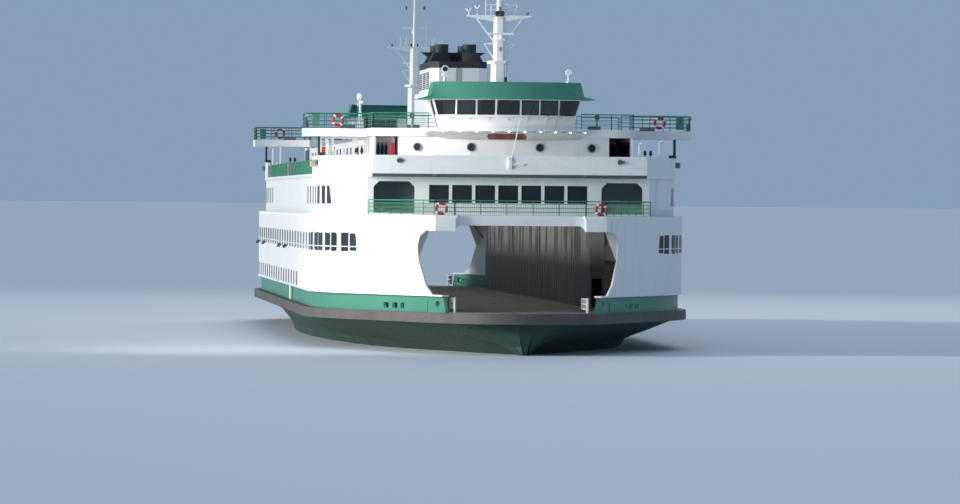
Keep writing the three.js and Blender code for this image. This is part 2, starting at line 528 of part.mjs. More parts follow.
// Rails: slim posts under a top bar, along a path; the lower courses are too fine for this part
function strip(path, half, z0, z1) {
  const normals = path.slice(1).map(([x, y], i) => {
    const [dx, dy] = [x - path[i][0], y - path[i][1]];
    return [-dy / Math.hypot(dx, dy), dx / Math.hypot(dx, dy)];
  });
  const edge = (side) => path.map(([x, y], i) => {
    const [m, n] = [normals[Math.max(0, i - 1)], normals[Math.min(i, normals.length - 1)]];
    const k = (side * half) / (1 + m[0] * n[0] + m[1] * n[1]);
    return [x + (m[0] + n[0]) * k, y + (m[1] + n[1]) * k];
  });
  return prismZ([...edge(1), ...edge(-1).reverse()], z0, z1);
}
function railing(path, base, top, spacing) {
  const posts = path.slice(1).flatMap((b, i) => {
    const a = path[i];
    const bays = Math.max(1, Math.round(Math.hypot(b[0] - a[0], b[1] - a[1]) / spacing));
    const steps = Array.from({ length: bays + 1 }, (_, k) => k / bays).slice(i === 0 ? 0 : 1);
    return steps.map((k) => [a[0] + (b[0] - a[0]) * k, a[1] + (b[1] - a[1]) * k]);
  });
  return join([strip(path, 4, top - 8, top),
    ...posts.map(([x, y]) => box(x - 2.5, x + 2.5, y - 2.5, y + 2.5, base, top - 4))]);
}

const railInset = inset.shell + 12;
const prongRail = [5560, 6450].map((y) => [-halfBreadth(y, railInset), -y]);
const endPath = [...prongRail, [-452, -6455], [-452, -6388]];
addAtEnds("end_rail", railing(mirrored(endPath), z.passengerDeck, z.passengerDeck + 105, 340), paint.railGreen);

const navPath = mirrored([
  [-545, -5080], [-765, -5015], [-928, -4976], [-948, 12 - wing.fore], [12 - wing.half, 12 - wing.fore],
  [12 - wing.half, -wing.aft - 12], [-928, -wing.aft - 12], [-928, -3892]]);
addAtEnds("nav_rail", railing(navPath, z.navDeck, z.navDeck + 112, 340), paint.railGreen);

for (const [name, side] of sides) {
  const x = side * (halfBeam - inset.sunDeck - 10);
  add(`sun_rail_${name}`, railing([[x, -3735], [x, 3735]], z.sunDeck, z.sunDeck + 105, 500), paint.railGreen);
}

// Liferaft racks along the sun deck, each with canisters and a green screen
for (const [name, side] of sides) {
  const x = side * 1170;
  const cradle = box(x - 52, x + 52, -2500, 2700, z.sunDeck, z.sunDeck + 24);
  const drums = [-1900, -1500, -1100, 1300, 1700, 2100, 2500].map((y) =>
    tubeY(44, x, y - 75, y + 75, z.sunDeck + 62, 10));
  const screen = box(x - 4, x + 4, -2495, -2150, z.sunDeck + 20, z.sunDeck + 130);
  add(`raft_rack_${name}`, join([cradle, ...drums, screen]), paint.white);
}

// Jackstaff on each end bulwark, raked aft over the house
const staff = bar([0, -(sunEndY + 16), z.bulwarkTop - 60], [76, -(sunEndY - 42), 1640], 8)
  .add(box(-12, 12, -(sunEndY + 20), -(sunEndY + fit), z.bulwarkTop - 90, z.bulwarkTop - 20));
addAtEnds("jackstaff", staff, paint.white);

// Propellers: a hub with a cone and four blades, on the shaft line
function propeller() {
  const y = -shaft.propY;
  const hub = solid(new THREE.CylinderGeometry(50, 40, 90, 16).translate(0, y, 0));
  const cone = solid(new THREE.ConeGeometry(40, 60, 16).rotateX(Math.PI).translate(0, y - 74, 0));
  const blades = [0, 1, 2, 3].map((i) => {
    const shape = new THREE.Shape();
    shape.moveTo(-22, 30);
    shape.quadraticCurveTo(-78, 110, -38, 176);
    shape.quadraticCurveTo(0, 200, 38, 176);
    shape.quadraticCurveTo(78, 110, 22, 30);
    const g = new THREE.ExtrudeGeometry(shape, { depth: 8, bevelEnabled: false, curveSegments: 5 });
    g.translate(0, 0, -4).rotateX(Math.PI / 2).rotateZ(0);
    const place = new THREE.Matrix4().makeRotationY((i * Math.PI) / 2);
    g.applyMatrix4(new THREE.Matrix4().makeRotationZ(THREE.MathUtils.degToRad(30)));
    g.applyMatrix4(place).translate(0, y, 0);
    return solid(g);
  });
  return join([hub, cone, ...blades]);
}
for (const { number, end } of ends) {
  const mesh = add(`propeller_${number}`, propeller(), paint.bronze, { parent: end, metalness: 0.9 });
  mesh.position.z = shaft.z;
}

// Rudders: a streamlined blade hung on its stock
const rudderPlan = [[0, 120], [26, 90], [34, 30], [26, -60], [0, -210], [-26, -60], [-34, 30], [-26, 90]]
  .map(([x, y]) => [x, y - rudder.stockY]);
addAtEnds("rudder", prismZ(rudderPlan, rudder.low, rudder.high), paint.hullGreen);

// Safety gates on the vehicle deck, folded back inside the strakes
const gate = { x: 457, y: -6560, length: 425 };
for (const [name, side] of sides) {
  const parts = [tube(9, side * gate.x, gate.y, z.deckTop + fit, z.deckTop + 104, 8)];
  for (const height of [20, 55, 90]) {
    parts.push(box(side * gate.x - 5, side * gate.x + 5, gate.y, gate.y + gate.length, z.deckTop + height,
      z.deckTop + height + 8));
  }
  for (const y of [140, 280, gate.length - 8]) {
    parts.push(box(side * gate.x - 5, side * gate.x + 5, gate.y + y, gate.y + y + 8, z.deckTop + 20,
      z.deckTop + 98));
  }
  addAtEnds(`gate_${name}`, join(parts), paint.white);
}

// Slewing davit with the rescue boat on its hook, high enough to swing out over the rail
const davit = { x: -1150, y: -3150, hookY: -2828, boatLow: 122, hook: 205 };
add("rescue_davit", join([
  tube(20, davit.x, davit.y, z.sunDeck + fit, z.sunDeck + 215, 10),
  bar([davit.x, davit.y, z.sunDeck + 195], [davit.x, davit.hookY + 6, z.sunDeck + 285], 20),
  bar([davit.x, davit.hookY, z.sunDeck + 280], [davit.x, davit.hookY, z.sunDeck + davit.hook + fit], 5),
]), paint.white);
const boatRing = (y, half, low) => [
  [half, davit.hook], [-half, davit.hook], [-half * 0.8, low + 20], [0, low], [half * 0.8, low + 20]]
  .map(([x, height]) => [x + davit.x, y, z.sunDeck + height]);
add("rescue_boat", loft([
  boatRing(davit.hookY - 190, 56, davit.boatLow + 4), boatRing(davit.hookY, 66, davit.boatLow),
  boatRing(davit.hookY + 130, 52, davit.boatLow + 8), boatRing(davit.hookY + 210, 10, davit.boatLow + 40),
]), paint.white);

export default group;
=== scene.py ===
import math

import bmesh
import bpy
from mathutils import Euler, Matrix, Vector


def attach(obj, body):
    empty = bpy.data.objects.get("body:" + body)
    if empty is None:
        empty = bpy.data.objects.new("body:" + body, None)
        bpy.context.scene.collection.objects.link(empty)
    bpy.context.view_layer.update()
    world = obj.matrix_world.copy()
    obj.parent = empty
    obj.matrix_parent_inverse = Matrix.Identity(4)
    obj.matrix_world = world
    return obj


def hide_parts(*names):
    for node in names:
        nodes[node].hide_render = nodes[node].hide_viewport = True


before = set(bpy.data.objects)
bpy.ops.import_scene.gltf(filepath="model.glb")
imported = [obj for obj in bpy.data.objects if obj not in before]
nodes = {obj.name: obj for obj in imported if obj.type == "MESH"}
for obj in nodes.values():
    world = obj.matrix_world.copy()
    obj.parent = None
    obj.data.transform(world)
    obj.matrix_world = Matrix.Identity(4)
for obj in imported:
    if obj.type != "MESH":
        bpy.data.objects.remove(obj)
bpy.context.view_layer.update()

# Camera: a long lens from ahead of end 1, a little off the centreline, at about the height of the passenger deck.
# Its place, angle and slight roll are fitted to the photograph's frame.
camera_place = (-3.52, -47.67, 1.035)
tilt, heading, roll = math.radians(90 - 0.466), -math.atan2(0.0784, 0.9969), math.radians(0.5)
camera_data = bpy.data.cameras.new("harbour_camera")
camera_data.lens = 225.9
camera_data.sensor_width = 36
camera_data.clip_start = 1
camera_data.clip_end = 20000
camera = bpy.data.objects.new("harbour_camera", camera_data)
aim = Euler((tilt, 0, heading)).to_matrix().to_4x4()
camera.matrix_world = Matrix.Translation(camera_place) @ aim @ Matrix.Rotation(roll, 4, "Z")
bpy.context.collection.objects.link(camera)
bpy.context.scene.camera = camera

# Light: a broad low key on the starboard beam, a softbox close to the starboard bow whose light fades across the
# front, a weak fill, one from astern and a pale surround, as in a studio tent.
for name, kind, place, aim_at, size, power, tint in [
    ("beam_light", "SUN", (-27, -1.5, 8), (0, 0, 1), math.radians(10), 2.6, (1, 0.96, 0.9)),
    ("bow_softbox", "AREA", (-3.7, -7.9, 1.7), (-1.2, -5.4, 1.3), 1.8, 30, (1, 0.97, 0.92)),
    ("fill_softbox", "AREA", (20, -24, 9), (0, 0, 1), 14, 20, (0.85, 0.93, 1)),
    ("rear_softbox", "AREA", (6, 26, 16), (0, 0, 1), 14, 350, (1, 1, 1)),
]:
    lamp = bpy.data.lights.new(name, kind)
    setattr(lamp, "angle" if kind == "SUN" else "size", size)
    lamp.energy = power
    if kind == "AREA":
        lamp.spread = math.radians(75)
    lamp.color = tint
    fitting = bpy.data.objects.new(name, lamp)
    fitting.location = place
    fitting.rotation_euler = (Vector(aim_at) - Vector(place)).to_track_quat("-Z", "Y").to_euler()
    fitting.visible_camera = False
    bpy.context.collection.objects.link(fitting)


def linear(code):
    parts = [int(code[i:i + 2], 16) / 255 for i in (1, 3, 5)]
    return (*[c / 12.92 if c <= 0.04045 else ((c + 0.055) / 1.055) ** 2.4 for c in parts], 1.0)


surround = bpy.data.worlds.new("studio_surround")
surround.use_nodes = True
surround.node_tree.nodes["Background"].inputs["Color"].default_value = linear("#a3bfdd")
surround.node_tree.nodes["Background"].inputs["Strength"].default_value = 0.66
bpy.context.scene.world = surround
bpy.context.scene.view_settings.view_transform = "Standard"


# Floor: a plain pale sheet of matt studio board at the level of her load line, so that she shows as she does
# afloat. It is a little darker than the white superstructure.
def add(tree, kind, inputs=None, **settings):
    made = tree.nodes.new("ShaderNode" + kind)
    for name, value in settings.items():
        setattr(made, name, value)
    for name, value in (inputs or {}).items():
        if isinstance(value, bpy.types.NodeSocket):
            tree.links.new(value, made.inputs[name])
        else:
            made.inputs[name].default_value = value
    return made


def new_material(name):
    made = bpy.data.materials.new(name)
    made.use_nodes = True
    made.node_tree.nodes.clear()
    return made, made.node_tree


board, tree = new_material("studio_board")
matt = add(tree, "BsdfPrincipled", {"Base Color": linear("#d3dade"), "Roughness": 0.8})
add(tree, "OutputMaterial", {"Surface": matt.outputs[0]})
horizon = 4000
bm = bmesh.new()
bmesh.ops.create_grid(bm, x_segments=2, y_segments=2, size=horizon)
mesh = bpy.data.meshes.new("studio_floor")
bm.to_mesh(mesh)
bm.free()
mesh.materials.append(board)
floor = bpy.data.objects.new("studio_floor", mesh)
bpy.context.collection.objects.link(floor)


# Hull: welded steel plate, painted dark green and dulled by salt and scuffs. The CAD solid keeps its shape; its
# paint carries the weathering. All the ship's paint is alkyd enamel rolled over welded plate: it varies a little in
# tone, shows weld seams and a slight waviness, and rust and soot run down it.
def ship_paint(name, colour, streak="#7a6a52", streaks=0.3, roughness=0.42, plate=0.24, seam=0.5, tone=0.06):
    made, tree = new_material(name)
    place = add(tree, "TexCoord").outputs["Object"]
    # tone: clouds 0.6 m wide
    cloud = add(tree, "TexNoise", {"Vector": place, "Scale": 1.7, "Detail": 5.0, "Roughness": 0.6})
    darker = tuple(c * (1 - 2.2 * tone) for c in linear(colour)[:3]) + (1.0,)
    film = add(tree, "Mix", {0: cloud.outputs["Fac"], 6: darker, 7: linear(colour)}, data_type="RGBA")
    # runs: noise drawn out downwards, 40 mm from run to run, in patches a metre wide
    drawn = add(tree, "Mapping", {"Vector": place, "Scale": (26, 26, 1.6)})
    run = add(tree, "TexNoise", {"Vector": drawn.outputs[0], "Scale": 1.0, "Detail": 3.0})
    run_mask = add(tree, "MapRange", {"Value": run.outputs["Fac"], 1: 0.56, 2: 0.78, 3: 0.0, 4: streaks})
    patch = add(tree, "TexNoise", {"Vector": place, "Scale": 0.9, "Detail": 2.0})
    patch_mask = add(tree, "MapRange", {"Value": patch.outputs["Fac"], 1: 0.42, 2: 0.62})
    both = add(tree, "Math", {0: run_mask.outputs[0], 1: patch_mask.outputs[0]}, operation="MULTIPLY")
    stained = add(tree, "Mix", {0: both.outputs[0], 6: film.outputs[2], 7: linear(streak)}, data_type="RGBA")
    # weld seams between plates: lines up and along the ship, 4 mm wide, which is as fine as the render shows
    xyz = add(tree, "SeparateXYZ", {0: place})
    weld, length = 0.0022, plate * 2.5
    edge = 0.0
    for axis, step in (("Z", plate), ("Y", length), ("X", length)):
        fold = add(tree, "Math", {0: xyz.outputs[axis], 1: step}, operation="PINGPONG")
        line = add(tree, "MapRange", {"Value": fold.outputs[0], 1: 0.0, 2: weld, 3: 1.0, 4: 0.0})
        edge = add(tree, "Math", {0: edge, 1: line.outputs[0]}, operation="MAXIMUM").outputs[0]
    # the plate's waviness between its frames, 0.25 m apart
    wave = add(tree, "TexNoise", {"Vector": place, "Scale": 4.0, "Detail": 1.0})
    height = add(tree, "Math", {0: edge, 1: 0.35 * seam, 2: wave.outputs["Fac"]}, operation="MULTIPLY_ADD")
    bump = add(tree, "Bump", {"Height": height.outputs[0], "Strength": 0.22, "Distance": 0.004})
    gloss = add(tree, "MapRange", {"Value": cloud.outputs["Fac"], 3: roughness - 0.07, 4: roughness + 0.12})
    shader = add(tree, "BsdfPrincipled", {"Base Color": stained.outputs[2], "Roughness": gloss.outputs[0],
                                          "Normal": bump.outputs[0]})
    add(tree, "OutputMaterial", {"Surface": shader.outputs[0]})
    return made


def dress(material, *names):
    for name in names:
        mesh = nodes[name].data
        mesh.materials.clear()
        mesh.materials.append(material)


hull_green = ship_paint("antifouling_green_paint", "#24483d", streak="#8a8f80", streaks=0.5, roughness=0.55,
                        plate=0.2, seam=0.9, tone=0.14)
dress(hull_green, "hull")

# Guard: the heavy rubbing belt, welded up of rounded steel plate. Quay fenders wear its paint to grey-brown steel,
# with brown scuffs drawn out along it: streaks 11 mm high and 150 mm long, over mottling 180 mm wide.
rubbed_steel, tree = new_material("rubbed_steel_belt")
place = add(tree, "TexCoord").outputs["Object"]
drawn = add(tree, "Mapping", {"Vector": place, "Scale": (2.2, 2.2, 30)})
scuff = add(tree, "TexNoise", {"Vector": drawn.outputs[0], "Scale": 3.0, "Detail": 8.0, "Roughness": 0.7})
mottle = add(tree, "TexNoise", {"Vector": place, "Scale": 5.5, "Detail": 4.0})
base = add(tree, "Mix", {0: mottle.outputs["Fac"], 6: linear("#3f3d3a"), 7: linear("#6f6c66")}, data_type="RGBA")
scuff_mask = add(tree, "MapRange", {"Value": scuff.outputs["Fac"], 1: 0.5, 2: 0.72, 4: 0.75})
worn = add(tree, "Mix", {0: scuff_mask.outputs[0], 6: base.outputs[2], 7: linear("#6d5c4e")}, data_type="RGBA")
bump = add(tree, "Bump", {"Height": scuff.outputs["Fac"], "Strength": 0.35, "Distance": 0.006})
shader = add(tree, "BsdfPrincipled", {"Base Color": worn.outputs[2], "Roughness": 0.62, "Metallic": 0.15,
                                      "Normal": bump.outputs[0]})
add(tree, "OutputMaterial", {"Surface": shader.outputs[0]})


def piece(name, bm, material, body="ship", end=1, replaces=(), smooth=False):
    if end == 2:
        bmesh.ops.rotate(bm, verts=bm.verts[:], cent=(0, 0, 0), matrix=Matrix.Rotation(math.pi, 3, "Z"))
    mesh = bpy.data.meshes.new(name)
    bm.to_mesh(mesh)
    bm.free()
    mesh.materials.append(material)
    if smooth:
        mesh.shade_smooth()
        mesh.set_sharp_from_angle(angle=math.radians(38))
    made = bpy.data.objects.new(name, mesh)
    bpy.context.collection.objects.link(made)
    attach(made, body)
    if replaces:
        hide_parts(*replaces)


def merged_copy(name):
    """A CAD node's mesh as a bmesh with its loose triangles joined and flat faces cleaned."""
    bm = bmesh.new()
    bm.from_mesh(nodes[name].data)
    bmesh.ops.remove_doubles(bm, verts=bm.verts[:], dist=1e-5)
    bmesh.ops.dissolve_limit(bm, angle_limit=math.radians(0.4), verts=bm.verts[:], edges=bm.edges[:])
    return bm


def rolled(name, node, material):
    """Stands for a CAD node with a copy of it whose curves are shaded softly."""
    piece(name, merged_copy(node), material, replaces=[node], smooth=True)


rolled("rolled_guard_belt", "guard_belt", rubbed_steel)

# Strakes: the sea-green bulwark plating above the guard, with round mooring ports and slots cut near the ends, a
# white cap of short straight plates with landing ledges on it, and one round fender bar welded on. The name plates
# near the ends are left bare.
guard_half, guard_end, straight, curve = 1.385, 7.01, 4.2, 2.8
taper = math.radians(24.2)
side_x = guard_half - curve
taper_line = side_x * math.cos(taper) + straight * math.sin(taper) + curve
nose_y = (guard_end - taper_line) / (1 - math.sin(taper))
nose_r = guard_end - nose_y


def half_breadth(y, inset):
    """Half the ship's breadth at y, for a line that lies this far inside the guard."""
    d, r, n = abs(y), curve - inset, nose_r - inset
    if d <= straight:
        return guard_half - inset
    if d <= straight + r * math.sin(taper):
        return side_x + math.sqrt(r * r - (d - straight) ** 2)
    if d <= nose_y + n * math.sin(taper):
        return (taper_line - inset - d * math.sin(taper)) / math.cos(taper)
    return math.sqrt(max(0, n * n - (d - nose_y) ** 2))


def outward(y, inset):
    """The angle by which the ship's side turns in at y: 0 amidships, 90 degrees at the nose."""
    return math.atan2(half_breadth(y - 0.004, inset) - half_breadth(y + 0.004, inset), 0.008)


def block(bm, corner, opposite):
    made = bmesh.ops.create_cube(bm, size=1)["verts"]
    bmesh.ops.scale(bm, verts=made, vec=[abs(b - a) for a, b in zip(corner, opposite)])
    bmesh.ops.translate(bm, verts=made, vec=[(a + b) / 2 for a, b in zip(corner, opposite)])
    return made


def ease(bm, edges, radius, segments=3):
    """Rounds these edges."""
    bmesh.ops.bevel(bm, geom=list(edges), offset=radius, segments=segments, affect="EDGES", profile=0.5, material=-1)


def edges_across(verts, least):
    """The edges at these vertices that run across the ship for more than this."""
    return {e for v in verts for e in v.link_edges if abs(e.verts[0].co.x - e.verts[1].co.x) > least}


def rod(bm, start, end, radius, facets=8, end_radius=None):
    start, end = Vector(start), Vector(end)
    place = Matrix.Translation((start + end) / 2) @ (end - start).to_track_quat("Z", "Y").to_matrix().to_4x4()
    bmesh.ops.create_cone(bm, cap_ends=True, segments=facets, radius1=radius,
                          radius2=radius if end_radius is None else end_radius,
                          depth=(end - start).length, matrix=place)


def plate_on_side(bm, side, y, width, z0, z1, inset, thick):
    """A flat plate that lies along the ship's side, with its outer face at this inset."""
    made = block(bm, (-thick, -width / 2, (z0 - z1) / 2), (0, width / 2, (z1 - z0) / 2))
    bmesh.ops.rotate(bm, verts=made, cent=(0, 0, 0), matrix=Matrix.Rotation(outward(y, inset), 3, "Z"))
    bmesh.ops.translate(bm, verts=made, vec=(half_breadth(y, inset), y, (z0 + z1) / 2))
    if side < 0:
        bmesh.ops.scale(bm, verts=made, vec=(-1, 1, 1))
        bmesh.ops.reverse_faces(bm, faces=list({f for v in made for f in v.link_faces}))
    return made


def carve(base, tool):
    """Cuts the tool's blocks out of the base, and gives the cut base back as a bmesh."""
    objects = []
    for bm in (base, tool):
        bmesh.ops.recalc_face_normals(bm, faces=bm.faces[:])
        mesh = bpy.data.meshes.new("carving")
        bm.to_mesh(mesh)
        bm.free()
        objects.append(bpy.data.objects.new("carving", mesh))
        bpy.context.collection.objects.link(objects[-1])
    cut = objects[0].modifiers.new("cut", "BOOLEAN")
    cut.object = objects[1]
    cut.operation = "DIFFERENCE"
    cut.solver = "MANIFOLD"
    result = bmesh.new()
    result.from_object(objects[0], bpy.context.evaluated_depsgraph_get())
    for used in objects:
        bpy.data.objects.remove(used)
    return result


strake_green = ship_paint("sea_green_enamel", "#468f76", streak="#8b5a3a", streaks=0.3, roughness=0.38, plate=0.12,
                          seam=0.6)
sides = (-1, "stbd"), (1, "port")
cap_white = ship_paint("white_cap_enamel", "#f2f3ef", streaks=0.15, roughness=0.35, plate=0.6, seam=0.2)
for side, word in sides:
    ports = bmesh.new()
    through = 0.06
    for y in (-6.47, 6.47):
        x = side * half_breadth(y, 0.07)
        hole = bmesh.ops.create_cone(ports, cap_ends=True, segments=16, radius1=0.021, radius2=0.021,
                                     depth=2 * through, matrix=Matrix.Rotation(math.pi / 2, 4, "Y"))["verts"]
        bmesh.ops.scale(ports, verts=hole, vec=(1, 1.3, 1))
        bmesh.ops.translate(ports, verts=hole, vec=(x, y, 0.34))
    for y, width in ((6.0, 0.05), (5.9, 0.07), (5.78, 0.07)):
        for far in (-y, y):
            x = side * half_breadth(far, 0.07)
            slot = block(ports, (x - through, far - width / 2, 0.3), (x + through, far + width / 2, 0.34))
            ease(ports, edges_across(slot, 0.1), 0.012)
    piece(f"strake_plating_{word}", carve(merged_copy(f"bulwark_strake_{word}"), ports), strake_green,
          replaces=[f"bulwark_strake_{word}"])

    trim = bmesh.new()
    for step in range(-60, 61):
        plate_on_side(trim, side, step * 0.109, 0.112, 0.392, 0.403, 0.031, 0.05)
    for y0, y1 in ((-1.45, -0.25), (0.25, 1.45)):
        block(trim, (side * 1.33, y0, 0.398), (side * 1.366, y1, 0.408))
    piece(f"strake_cap_{word}", trim, cap_white)

    bars = bmesh.new()
    y = side * 1.45
    x = side * half_breadth(y, 0.047)
    rod(bars, (x, y, 0.286), (x, y, 0.47), 0.014, 12)
    piece(f"fender_bar_{word}", bars, cap_white, smooth=True)

    plates = bmesh.new()
    for y in (-6.25, 6.25):
        plate_on_side(plates, side, y, 0.2, 0.29, 0.36, 0.0565, 0.004)
    piece(f"bare_name_plate_{word}", plates, strake_green)


# Side plating of the vehicle deck: white enamelled plate. A row of paired windows with rounded corners, glazed
# flush, lights the gallery. A thin drip bar crosses their lower part, slim air ports stand above the strake, filled
# flush with dark glass that is painted shade for their open insides, and four lamps hang from brackets below the
# windows.
white_plate = ship_paint("white_marine_enamel", "#f4f5f2", streaks=0.2, roughness=0.4, plate=0.265, seam=0.45)


def mottled_finish(name, dark, light, clouds, detail, gloss, drawn=(1, 1, 1), relief=None):
    """A finish that wanders between two tones in clouds, this many to the metre, with relief as strength and depth."""
    made, tree = new_material(name)
    place = add(tree, "Mapping", {"Vector": add(tree, "TexCoord").outputs["Object"], "Scale": drawn})
    cloud = add(tree, "TexNoise", {"Vector": place.outputs[0], "Scale": clouds, "Detail": detail}).outputs["Fac"]
    tone = add(tree, "Mix", {0: cloud, 6: linear(dark), 7: linear(light)}, data_type="RGBA")
    look = {"Base Color": tone.outputs[2], **gloss}
    if relief:
        strength, depth = relief
        bump = add(tree, "Bump", {"Height": cloud, "Strength": strength, "Distance": depth})
        look["Normal"] = bump.outputs[0]
    add(tree, "OutputMaterial", {"Surface": add(tree, "BsdfPrincipled", look).outputs[0]})
    return made


# glass: the haze of salt in clouds 0.4 m wide, with next to no glare, as its back is dark
tinted_glass = mottled_finish("tinted_window_glass", "#1b2126", "#3e484f", 2.3, 2.0,
                              {"Roughness": 0.2, "Specular IOR Level": 0.03})
pair_centres = [5.315, 5.011, 4.707, 4.403] + [0.21 + 0.42 * i for i in range(10)]
gallery_pairs = [sign * centre - 0.125 for sign in (-1, 1) for centre in pair_centres]
air_ports = [-2.55 + 0.42 * i for i in range(17)]
last_pair, rebate = 5.37, 0.004
pane_sill, pane_head, port_sill, port_head = 0.69, 0.815, 0.41, 0.512
for side, word in sides:
    holes, glass, drip = bmesh.new(), bmesh.new(), bmesh.new()
    for start in gallery_pairs:
        for y in (start + 0.06, start + 0.19):
            verts = plate_on_side(holes, side, y, 0.118, pane_sill, pane_head, 0.015, 0.06)
            if abs(y) > last_pair:  # the last panes are cut to the rake of the mouth
                for v in verts:
                    if abs(v.co.y) > abs(y) and v.co.z > 0.78:
                        v.co.y -= math.copysign(0.022, y)
            edges = {e for v in verts for e in v.link_edges
                     if abs(e.verts[0].co.z - e.verts[1].co.z) < 0.01 and e.calc_length() < 0.08}
            ease(holes, edges, 0.02)
            plate_on_side(glass, side, y, 0.122, pane_sill - rebate, pane_head + rebate, 0.0365, 0.006)
            plate_on_side(drip, side, y, 0.126, 0.718, 0.724, 0.034, 0.004)
    # the air ports get flush dark glass: painted shade for the dark inside of the open ports
    for y in air_ports:
        plate_on_side(holes, side, -side * y, 0.19, port_sill, port_head, 0.015, 0.06)
        plate_on_side(glass, side, -side * y, 0.194, port_sill - rebate, port_head + rebate, 0.0375, 0.006)
    piece(f"gallery_glass_and_port_shade_{word}", glass, tinted_glass)
    piece(f"window_drip_bars_{word}", drip, white_plate)
    piece(f"side_plating_{word}", carve(merged_copy(f"side_shell_{word}"), holes), white_plate,
          replaces=[f"side_shell_{word}"])

    brackets = bmesh.new()
    for y in (-0.95, 0.0, 2.9, 4.0):
        wall = side * half_breadth(y, 0.035)
        x, y = wall + side * 0.022, -side * y
        rod(brackets, (wall, y, 0.692), (wall + side * 0.024, y, 0.698), 0.008, 10)
        rod(brackets, (x, y, 0.698), (x, y, 0.674), 0.012, 12)
    piece(f"side_lamp_brackets_{word}", brackets, rubbed_steel)


# Mouth: each end is open to drive through. A rolled pipe rim stiffens the edge of the side plating round the opening,
# and the portal over it is white plate with a boxed corner on each side.
mouth_side = [(0.4, 0.602), (0.47, 0.645), (0.64, 0.689), (0.74, 0.695), (0.8, 0.683), (0.832, 0.658),
              (0.842, 0.646), (0.93, 0.646)]
rim_heights = [0.402, 0.436, 0.47, 0.55, 0.64, 0.69, 0.74, 0.77, 0.8, 0.82, 0.832, 0.84, 0.842, 0.88, 0.928]
rim_radius = 0.0125


def mouth_edge(z, inset):
    """The half width of the mouth at this height, and how far from amidships the side plating ends there."""
    low = [p for p in mouth_side if p[0] <= z][-1]
    high = [p for p in mouth_side if p[0] >= z][0]
    part = 0 if high[0] == low[0] else (z - low[0]) / (high[0] - low[0])
    x = low[1] + (high[1] - low[1]) * part
    return x, (taper_line - inset - math.cos(taper) * x) / math.sin(taper)


for end in (1, 2):
    rim = bmesh.new()
    for side in (-1, 1):
        edge = [(*mouth_edge(z, 0.045), z) for z in rim_heights]
        path = [Vector((side * (x + 0.004), -y, z)) for x, y, z in edge]
        for a, b in zip(path, path[1:]):
            rod(rim, a, b, rim_radius, 10)
        for a in path[1:-1]:
            bmesh.ops.create_uvsphere(rim, u_segments=10, v_segments=6, radius=rim_radius,
                                      matrix=Matrix.Translation(a))
    for side in (-1, 1):
        plate_on_side(rim, side, -mouth_edge(0.9, 0.035)[1], 0.04, 0.843, 0.93, 0.0315, 0.004)
    piece(f"mouth_rim_{end}", rim, white_plate, end=end, smooth=True)
dress(white_plate, "portal_1", "portal_2")

# Vehicle deck: steel plate with a coarse non-slip coating, worn grey along the lanes, with thin yellow lane lines.
# The grit is drawn 5 mm coarse and the lines 7 mm wide, so that they show; the wear runs along the ship.
deck_coating, tree = new_material("non_slip_deck_coating")
place = add(tree, "TexCoord").outputs["Object"]
grit = add(tree, "TexNoise", {"Vector": place, "Scale": 180.0, "Detail": 2.0})
wear = add(tree, "TexNoise", {"Vector": add(tree, "Mapping", {"Vector": place, "Scale": (5, 0.8, 1)}).outputs[0],
                              "Scale": 2.0, "Detail": 5.0})
base = add(tree, "Mix", {0: wear.outputs["Fac"], 6: linear("#585a5a"), 7: linear("#85847f")}, data_type="RGBA")
xyz = add(tree, "SeparateXYZ", {0: place})
lane = add(tree, "Math", {0: xyz.outputs["X"], 1: 0.16}, operation="PINGPONG")
line = add(tree, "Math", {0: lane.outputs[0], 1: 0.0035}, operation="LESS_THAN")
rubbed = add(tree, "Math", {0: line.outputs[0], 1: wear.outputs["Fac"]}, operation="MULTIPLY")
marked = add(tree, "Mix", {0: rubbed.outputs[0], 6: base.outputs[2], 7: linear("#c9a63c")}, data_type="RGBA")
bump = add(tree, "Bump", {"Height": grit.outputs["Fac"], "Strength": 0.4, "Distance": 0.002})
shader = add(tree, "BsdfPrincipled", {"Base Color": marked.outputs[2], "Roughness": 0.85,
                                      "Normal": bump.outputs[0]})
add(tree, "OutputMaterial", {"Surface": shader.outputs[0]})
dress(deck_coating, "vehicle_deck", "gallery_stbd", "gallery_port")

# Casings: the long trunks between the lanes, grey-white plate stiffened by vertical ribs welded to both faces, with
# flush stair doors in it. Dark upright streaks and a dark film low down are painted shade on the plate.
casing_grey = ship_paint("casing_enamel_with_painted_shade", "#e3e6e3", streak="#6d6a60", streaks=0.45, roughness=0.5, plate=0.3,
                         seam=0.8, tone=0.1)


def paint_over(paint, mask, colour):
    """Lays a second colour over a paint, as far as the mask says."""
    tree = paint.node_tree
    shader = [node for node in tree.nodes if node.type == "BSDF_PRINCIPLED"][0]
    under = shader.inputs["Base Color"].links[0].from_socket
    both = add(tree, "Mix", {0: mask.outputs[0], 6: under, 7: linear(colour)}, data_type="RGBA")
    tree.links.new(both.outputs[2], shader.inputs["Base Color"])


# painted shade: drawn-out dark clouds about 0.2 m long, over an even dark film near the deck
tree = casing_grey.node_tree
place = add(tree, "TexCoord").outputs["Object"]
xyz = add(tree, "SeparateXYZ", {0: place})
drawn = add(tree, "Mapping", {"Vector": place, "Scale": (0.01, 3.4, 0.35)})
painted_shade_clouds = add(tree, "TexNoise", {"Vector": drawn.outputs[0], "Scale": 1.6, "Detail": 3.0, "Roughness": 0.7})
painted_shade_streaks = add(tree, "MapRange", {"Value": painted_shade_clouds.outputs["Fac"], 1: 0.47, 2: 0.56, 3: 0.0, 4: 0.8})
low = add(tree, "MapRange", {"Value": xyz.outputs["Z"], 1: 0.58, 2: 0.74, 3: 0.88, 4: 0.0})
painted_shade_mask = add(tree, "Math", {0: painted_shade_streaks.outputs[0], 1: low.outputs[0]}, operation="MAXIMUM")
paint_over(casing_grey, painted_shade_mask, "#3a4248")
dress(casing_grey, "casing_stbd", "casing_port")
lane_level = 0.3
